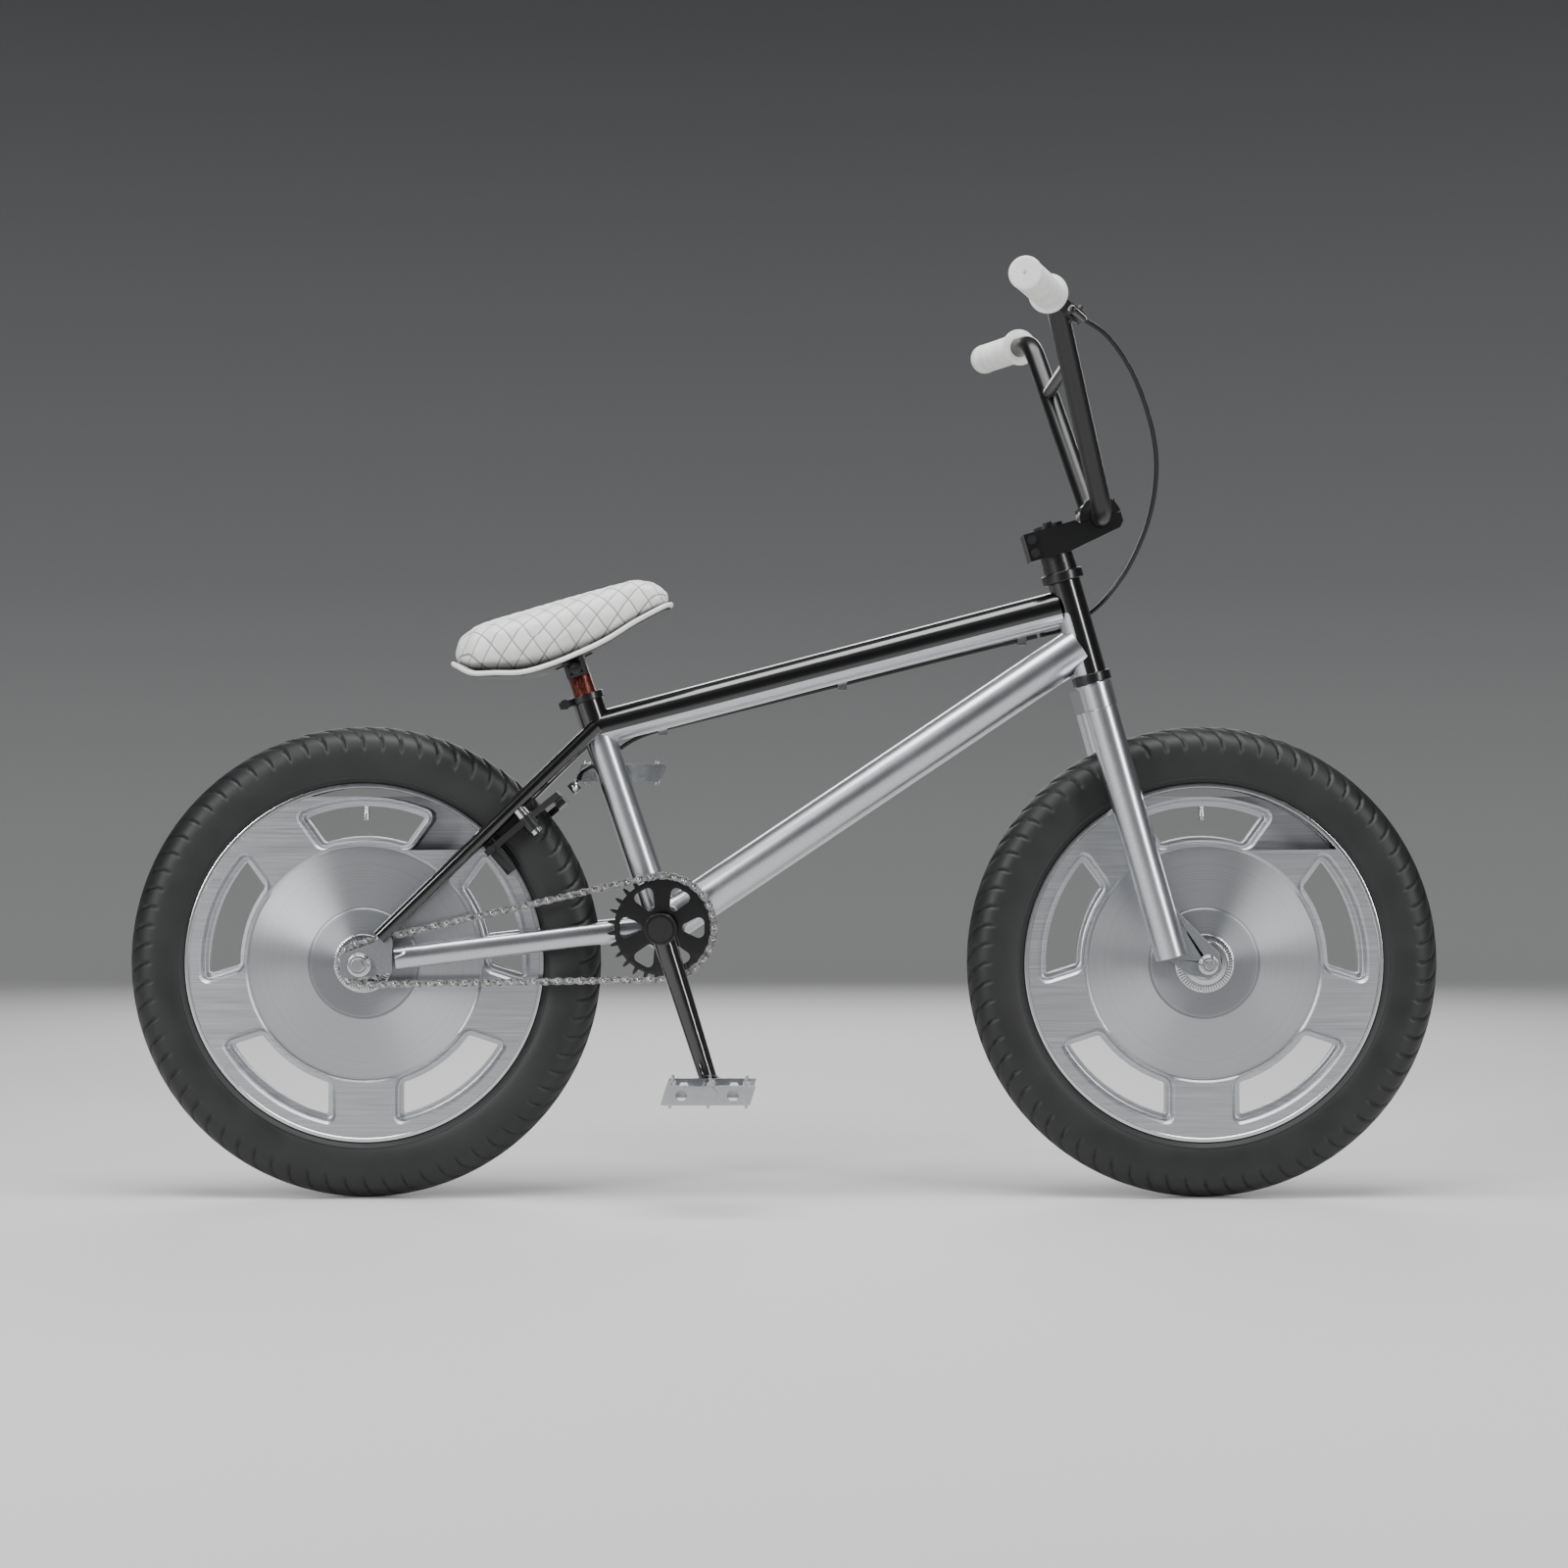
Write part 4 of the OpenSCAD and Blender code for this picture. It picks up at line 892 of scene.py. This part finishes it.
BAR_PAINT = make_satin_black("satin_black_bar_paint", "#0c0c0d", 0.32, 0.5)
build_bar()
build_crossbar()

# %% [markdown]
# ## Grips
# White rubber grips slide over the bar ends.  Each has a round flange on the inside, a body of fine
# ribs, and a smooth collar at both ends, closed by a push-in plug.  The profile is spun round its own
# straight axis and then turned to lie along the bar.

# %% Grips and plugs
GRIP_PROFILE = [(11.3, -124.0), (20.2, -124.0), (20.9, -123.4), (21.0, -122.6), (20.8, -121.4),
                (20.2, -120.8), (17.6, -120.2), (16.7, -119.2), (16.5, -117.6), (16.4, -113.4),
                (16.0, -112.9)]
for rib in range(20):
    start = -112.4 + rib * 5.2
    GRIP_PROFILE += [(14.9, start), (14.9, start + 1.1), (16.2, start + 1.6), (16.85, start + 2.3),
                     (16.85, start + 3.6), (16.2, start + 4.4)]
GRIP_PROFILE += [(15.6, -7.4), (15.8, -6.8), (16.3, -6.4), (16.5, -5.8), (16.5, -0.9), (16.2, -0.3),
                 (15.6, -0.05), (11.3, -0.05)]
PLUG_PROFILE = [(0.0, 0.6), (1.5, 0.6), (1.9, 0.9), (2.0, 1.6), (2.6, 2.9), (3.6, 3.15), (14.2, 3.15),
                (16.2, 2.7), (17.2, 1.9), (17.3, 0.9), (16.9, 0.3), (15.8, 0.2)]


def along_grip(side):
    """A turn and move that lays the Y axis along the grip, with its end at the bar's end."""
    end = Vector((BAR_END.x, BAR_END.y * side, BAR_END.z))
    top = Vector((BAR_TOP.x, BAR_TOP.y * side, BAR_TOP.z))
    outward = (end - top).normalized()
    return Matrix.Translation(end) @ Vector((0, 1, 0)).rotation_difference(outward).to_matrix().to_4x4()


def build_grips():
    for name, profile, node, steps in (("ribbed_grips", GRIP_PROFILE, "grips", 96),
                                       ("end_plugs", PLUG_PROFILE, "bar_end_plugs", 64)):
        shape = bmesh.new()
        for side in (1, -1):
            rings = spin_profile(shape, profile, steps)
            verts = [vertex for ring in rings for vertex in ring]
            bmesh.ops.transform(shape, matrix=along_grip(side), verts=verts)
        clean(shape)
        finish_piece(name, shape, [WHITE_RUBBER], "steering", node, smooth=50)


build_grips()

# %% [markdown]
# ## Cables
# The brake cable runs in a black housing: a loop from the lever round in front of the head tube,
# then along the top tube and down to the brake.  The loop is one fixed shape that rides on no body,
# and the run along the frame rides on the frame.

# %% Cables
LOOP = [(304, -172, 953), (318, -148, 950), (348, -118, 934), (378, -88, 897), (400, -62, 845),
        (408, -38, 799), (403, -12, 750), (385, 10, 702), (360, 24, 665), (338, 29, 645),
        (312, 28, 630), (296, 26, 625), (286, 24, 623)]
ALONG_FRAME = [(282, 24, 622), (200, 24, 602), (60, 24, 567), (-80, 24, 532), (-155, 25, 512),
               (-190, 27, 492), (-212, 22, 478), (-224, 8, 470), (-227, 0, 463)]


def housing_shape(route):
    """A cable housing of 5 mm with a metal ferrule at each end."""
    path = smooth_path([mm(*point) for point in route], 10)
    shape = bmesh.new()
    sweep(shape, path, lambda i: (2.5 * MM, 2.5 * MM), sides=20)
    for tail in (path[:6], path[-6:]):
        sweep(shape, tail, lambda i: (2.95 * MM, 2.95 * MM), sides=20, finish=1)
    clean(shape)
    return shape


CABLE_FINISHES = [HOUSING, BLACK_STEEL]
loop = finish_piece("cable_loop", housing_shape(LOOP), CABLE_FINISHES, None, "brake_cable_loop")
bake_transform(loop)
finish_piece("frame_cable", housing_shape(ALONG_FRAME), CABLE_FINISHES, "frame", "rear_brake_cable")

# %% [markdown]
# ## Chain
# A half-inch roller chain.  Its path is a run over the sprocket, a straight run back, a turn round
# the cog and a straight run forward.  The pins sit at equal steps along that path.  Every second
# link is a pair of outer plates with pins through them, and the others are inner plates on rollers.
# One link of each kind is drawn as a figure eight and set at each pair of pins.

# %% Chain path
PITCH = 12.7
SPROCKET_TEETH, COG_TEETH = 28, 11
CHAIN_SIDE = -46.0
BIG = PITCH / 2 / math.sin(math.pi / SPROCKET_TEETH)
SMALL = PITCH / 2 / math.sin(math.pi / COG_TEETH)


def chain_pins():
    """The chain's pins as (x, z) in millimetres, in order round the path."""
    crank = Vector((CRANK_AXLE.x, CRANK_AXLE.z)) / MM
    rear = Vector((REAR_AXLE.x, REAR_AXLE.z)) / MM
    line = (crank - rear)
    heading = math.atan2(line.y, line.x)
    spread = math.asin((BIG - SMALL) / line.length)
    upper = heading + math.pi / 2 + spread
    lower = heading - math.pi / 2 - spread
    run = line.length * math.cos(spread) / PITCH
    on_big = (math.pi + 2 * spread) * SPROCKET_TEETH / math.tau
    on_small = (math.pi - 2 * spread) * COG_TEETH / math.tau
    total = 2 * run + on_big + on_small
    links = round(total)
    pins = []
    for k in range(links):
        u = k * total / links
        if u < on_big:
            turn = upper - u * math.tau / SPROCKET_TEETH
            pins.append(crank + Vector((math.cos(turn), math.sin(turn))) * BIG)
        elif u < on_big + run:
            edge = Vector((math.cos(lower), math.sin(lower)))
            pins.append((crank + edge * BIG).lerp(rear + edge * SMALL, (u - on_big) / run))
        elif u < on_big + run + on_small:
            turn = lower - (u - on_big - run) * math.tau / COG_TEETH
            pins.append(rear + Vector((math.cos(turn), math.sin(turn))) * SMALL)
        else:
            edge = Vector((math.cos(upper), math.sin(upper)))
            done = (u - on_big - run - on_small) / run
            pins.append((rear + edge * SMALL).lerp(crank + edge * BIG, done))
    return pins


PINS = chain_pins()
print("chain links:", len(PINS))


# %% Chain links
def link_plate(shape, start, end, near, far, wide=4.15, waist=2.9, finish=0):
    """A figure-eight plate between two pins, from side near to side far, with softened edges."""
    ahead = (end - start).normalized()
    across = Vector((-ahead.y, ahead.x))
    length = (end - start).length
    outline = []
    for centre, base in ((start, math.pi / 2), (end, -math.pi / 2)):
        for k in range(11):
            turn = base + math.radians(-14) + math.radians(208) * k / 10
            outline.append(centre + (ahead * math.cos(turn) + across * math.sin(turn)) * wide)
        side = 1 if centre == end else -1
        outline.append((start + end) / 2 + across * waist * side)
    middle = (start + end) / 2
    inner = [middle + (p - middle) * (1 - 0.5 / length) for p in outline]
    rings = []
    for points, side in ((inner, near), (outline, near + 0.22), (outline, far - 0.22), (inner, far)):
        rings.append([shape.verts.new((p.x * MM, side * MM, p.y * MM)) for p in points])
    loft(shape, rings, finish=finish)
    shape.faces.new(rings[0]).material_index = finish
    shape.faces.new(rings[-1]).material_index = finish


def chain_pin(shape, at, radius, near, far, dome=0.0, finish=0):
    """A pin or roller along Y, with domed ends if it is a riveted pin."""
    profile = [(radius * 0.45, near - dome), (radius * 0.85, near - dome * 0.6), (radius, near),
               (radius, far), (radius * 0.85, far + dome * 0.6), (radius * 0.45, far + dome)]
    rings = []
    for size, side in profile:
        rings.append([shape.verts.new(((at.x + size * math.sin(math.tau * k / 14)) * MM, side * MM,
                                       (at.y + size * math.cos(math.tau * k / 14)) * MM))
                      for k in range(14)])
    loft(shape, rings, finish=finish)
    shape.faces.new(rings[0]).material_index = finish
    shape.faces.new(rings[-1]).material_index = finish


def build_chain():
    shape = bmesh.new()
    middle = CHAIN_SIDE
    for k, (start, end) in enumerate(zip(PINS, PINS[1:] + PINS[:1])):
        gap, thick = (3.25, 1.0) if k % 2 else (2.05, 1.0)
        for side in (-1, 1):
            faces = sorted((middle + side * gap, middle + side * (gap + thick)))
            link_plate(shape, start, end, faces[0], faces[1])
        chain_pin(shape, start, 3.3, middle - 1.9, middle + 1.9, finish=1)
        chain_pin(shape, start, 1.9, middle - 4.45, middle + 4.45, dome=0.25, finish=1)
    clean(shape)
    return finish_piece("roller_chain", shape, [CHAIN_STEEL, POLISHED], "frame", "chain", smooth=40)


build_chain()

# %% [markdown]
# ## Saddle
# A padded BMX seat: foam on a nylon base under a quilted cover.  The CAD pad gives its shape.  A
# copy of it is remeshed to even squares and then puffed a little by a cloth simulation under
# pressure, which rounds it as foam does, with a limit on how far it may swell.  The quilting comes
# after: seams cross in diamonds that were stitched flat, so they are measured along the cover, round
# the body of the seat, and not in the side view.

# %% Puff up the pad
PAD_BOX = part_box("saddle_pad")


def pad_copy():
    source = frame["nodes"]["saddle_pad"]
    shape = bmesh.new()
    shape.from_mesh(source.data)
    bmesh.ops.transform(shape, matrix=source.matrix_world, verts=shape.verts)
    bmesh.ops.remove_doubles(shape, verts=shape.verts, dist=0.01 * MM)
    shape.normal_update()
    bmesh.ops.recalc_face_normals(shape, faces=shape.faces)
    for vertex in shape.verts:
        vertex.co -= vertex.normal * 1.2 * MM
    mesh = bpy.data.meshes.new("quilted_pad")
    shape.to_mesh(mesh)
    shape.free()
    pad = bpy.data.objects.new("quilted_pad", mesh)
    bpy.context.scene.collection.objects.link(pad)
    return pad


def apply_all(obj):
    """Turns an object's evaluated shape into its mesh."""
    bpy.context.view_layer.update()
    done = bpy.data.meshes.new_from_object(obj.evaluated_get(bpy.context.evaluated_depsgraph_get()))
    obj.modifiers.clear()
    obj.data = done


def puff(pad):
    """Lets the cover swell under light pressure, as foam fills it."""
    held = pad.vertex_groups.new(name="held")
    edge = [vertex.index for vertex in pad.data.vertices if vertex.normal.z < -0.5]
    held.add(edge, 1.0, "REPLACE")
    cloth = pad.modifiers.new("cloth", "CLOTH")
    cloth.settings.use_pressure = True
    cloth.settings.uniform_pressure_force = 4.0
    cloth.settings.effector_weights.gravity = 0.0
    cloth.settings.vertex_group_mass = "held"
    cloth.settings.tension_stiffness = 25
    cloth.settings.compression_stiffness = 25
    cloth.settings.bending_stiffness = 2.0
    cloth.point_cache.frame_start = 1
    cloth.point_cache.frame_end = 20
    for frame_number in range(1, 21):
        bpy.context.scene.frame_set(frame_number)
    apply_all(pad)
    bpy.context.scene.frame_set(1)


PUFF_LIMIT = 8 * MM
pad = pad_copy()
remesh = pad.modifiers.new("even_squares", "REMESH")
remesh.mode = "VOXEL"
remesh.voxel_size = 4.5 * MM
apply_all(pad)
flat = [vertex.co.copy() for vertex in pad.data.vertices]
puff(pad)
moved = [(vertex.co - start).length for vertex, start in zip(pad.data.vertices, flat)]
print("pad moved by up to", round(max(moved) / MM, 1), "mm")
for vertex, start, move in zip(pad.data.vertices, flat, moved):
    if move > PUFF_LIMIT:
        vertex.co = start + (vertex.co - start) * (PUFF_LIMIT / move)

# %% Quilt the pad
QUILT_STATIONS = 24


def cover_half_width(x):
    """Half the saddle's width at a place along it, from the remeshed pad before it was puffed."""
    near = [abs(point.y) for point in flat if abs(point.x - x) < 6 * MM]
    return max(near) if near else 10 * MM


def top_height(x):
    near = [point.z for point in flat if abs(point.x - x) < 6 * MM and abs(point.y) < 12 * MM]
    return max(near) if near else PAD_BOX[1][2]


def cover_tables():
    """Half width and top height at stations along the seat."""
    low, high = PAD_BOX[0][0], PAD_BOX[1][0]
    xs = [low + (high - low) * k / QUILT_STATIONS for k in range(QUILT_STATIONS + 1)]
    return low, high, [cover_half_width(x) for x in xs], [top_height(x) for x in xs]


def look_up(table, low, high, x):
    place_at = max(0.0, min(QUILT_STATIONS - 0.001, (x - low) / (high - low) * QUILT_STATIONS))
    index = int(place_at)
    return table[index] + (table[index + 1] - table[index]) * (place_at - index)


def flat_place(vertex, low, high, widths, tops):
    """Where a point of the cover lay when it was flat: millimetres along and across the seat."""
    co = vertex.co
    width = look_up(widths, low, high, co.x)
    drop = max(0.0, look_up(tops, low, high, co.x) - co.z)
    side = max(width, abs(co.y)) if vertex.normal.z < 0 else abs(co.y)
    across = math.hypot(side, drop) + 0.25 * min(side, drop)
    return (co.x - low) / MM, across / MM


def quilt(pad):
    """Subdivides the cover, maps it flat and presses the seams in."""
    low, high, widths, tops = cover_tables()
    divide = pad.modifiers.new("finer", "SUBSURF")
    divide.levels = divide.render_levels = 2
    apply_all(pad)
    shape = bmesh.new()
    shape.from_mesh(pad.data)
    shape.normal_update()
    layer = shape.loops.layers.uv.new("flat_cover")
    seams = {}
    for vertex in shape.verts:
        along, across = flat_place(vertex, low, high, widths, tops)
        seams[vertex] = ((along * 0.75 + across * 0.66) / SEAM_GAP,
                         (along * 0.75 - across * 0.66) / SEAM_GAP)
    for face in shape.faces:
        for corner in face.loops:
            corner[layer].uv = seams[corner.vert]
    moves = []
    for vertex in shape.verts:
        first, second = (abs(math.sin(math.pi * value)) for value in seams[vertex])
        upright = max(0.0, min(1.0, (vertex.normal.z + 0.8) / 0.3))
        moves.append(vertex.normal * ((first * second) ** 0.4 - 1.0) * 1.5 * MM * upright)
    for vertex, move in zip(shape.verts, moves):
        vertex.co += move
    shape.to_mesh(pad.data)
    shape.free()


quilt(pad)
pad.data.materials.clear()
pad.data.materials.append(LEATHER)
pad.data.shade_smooth()
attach(pad, "saddle_body")
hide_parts("saddle_pad")
print("quilted pad has", len(pad.data.polygons), "faces")

# %% [markdown]
# ## Piping
# The cover's raw edge is closed by a white welt, a cord wrapped in the same material, where it meets
# the base.  It runs round the seat along the base's upper edge; its path is a list of points on that
# edge, the widest point at each of twelve stations, joined into one smooth loop.

# %% Piping round the saddle
def base_edge():
    """Points round the seam between pad and base, from the nose back along the left side."""
    stations = [(-364, 591, 22), (-358, 588, 44), (-340, 580, 60), (-315, 580, 66), (-285, 581, 62),
                (-255, 590, 50), (-225, 603, 38), (-195, 618, 30), (-165, 637, 26), (-145, 648, 24),
                (-132, 655, 18), (-126, 657, 10)]
    left = [mm(x, wide - 1.2, z - 2.0) for x, z, wide in stations]
    return left[::-1] + [mm(-364.5, 0, 588.8)] + mirrored(left) + [mm(-125.5, 0, 655.2)]


def build_piping():
    loop_points = base_edge()
    count = len(loop_points)
    path = smooth_path([loop_points[k % count] for k in range(-1, count + 2)], 10)[10:-10]
    shape = bmesh.new()
    sweep(shape, path, lambda i: (2.7 * MM, 2.7 * MM), sides=16, caps=False)
    clean(shape)
    return finish_piece("white_piping", shape, [PIPING], "saddle_body")


PIPING = make_moulded_black("white_piping_vinyl", "#e2e2e0", 0.4)
build_piping()
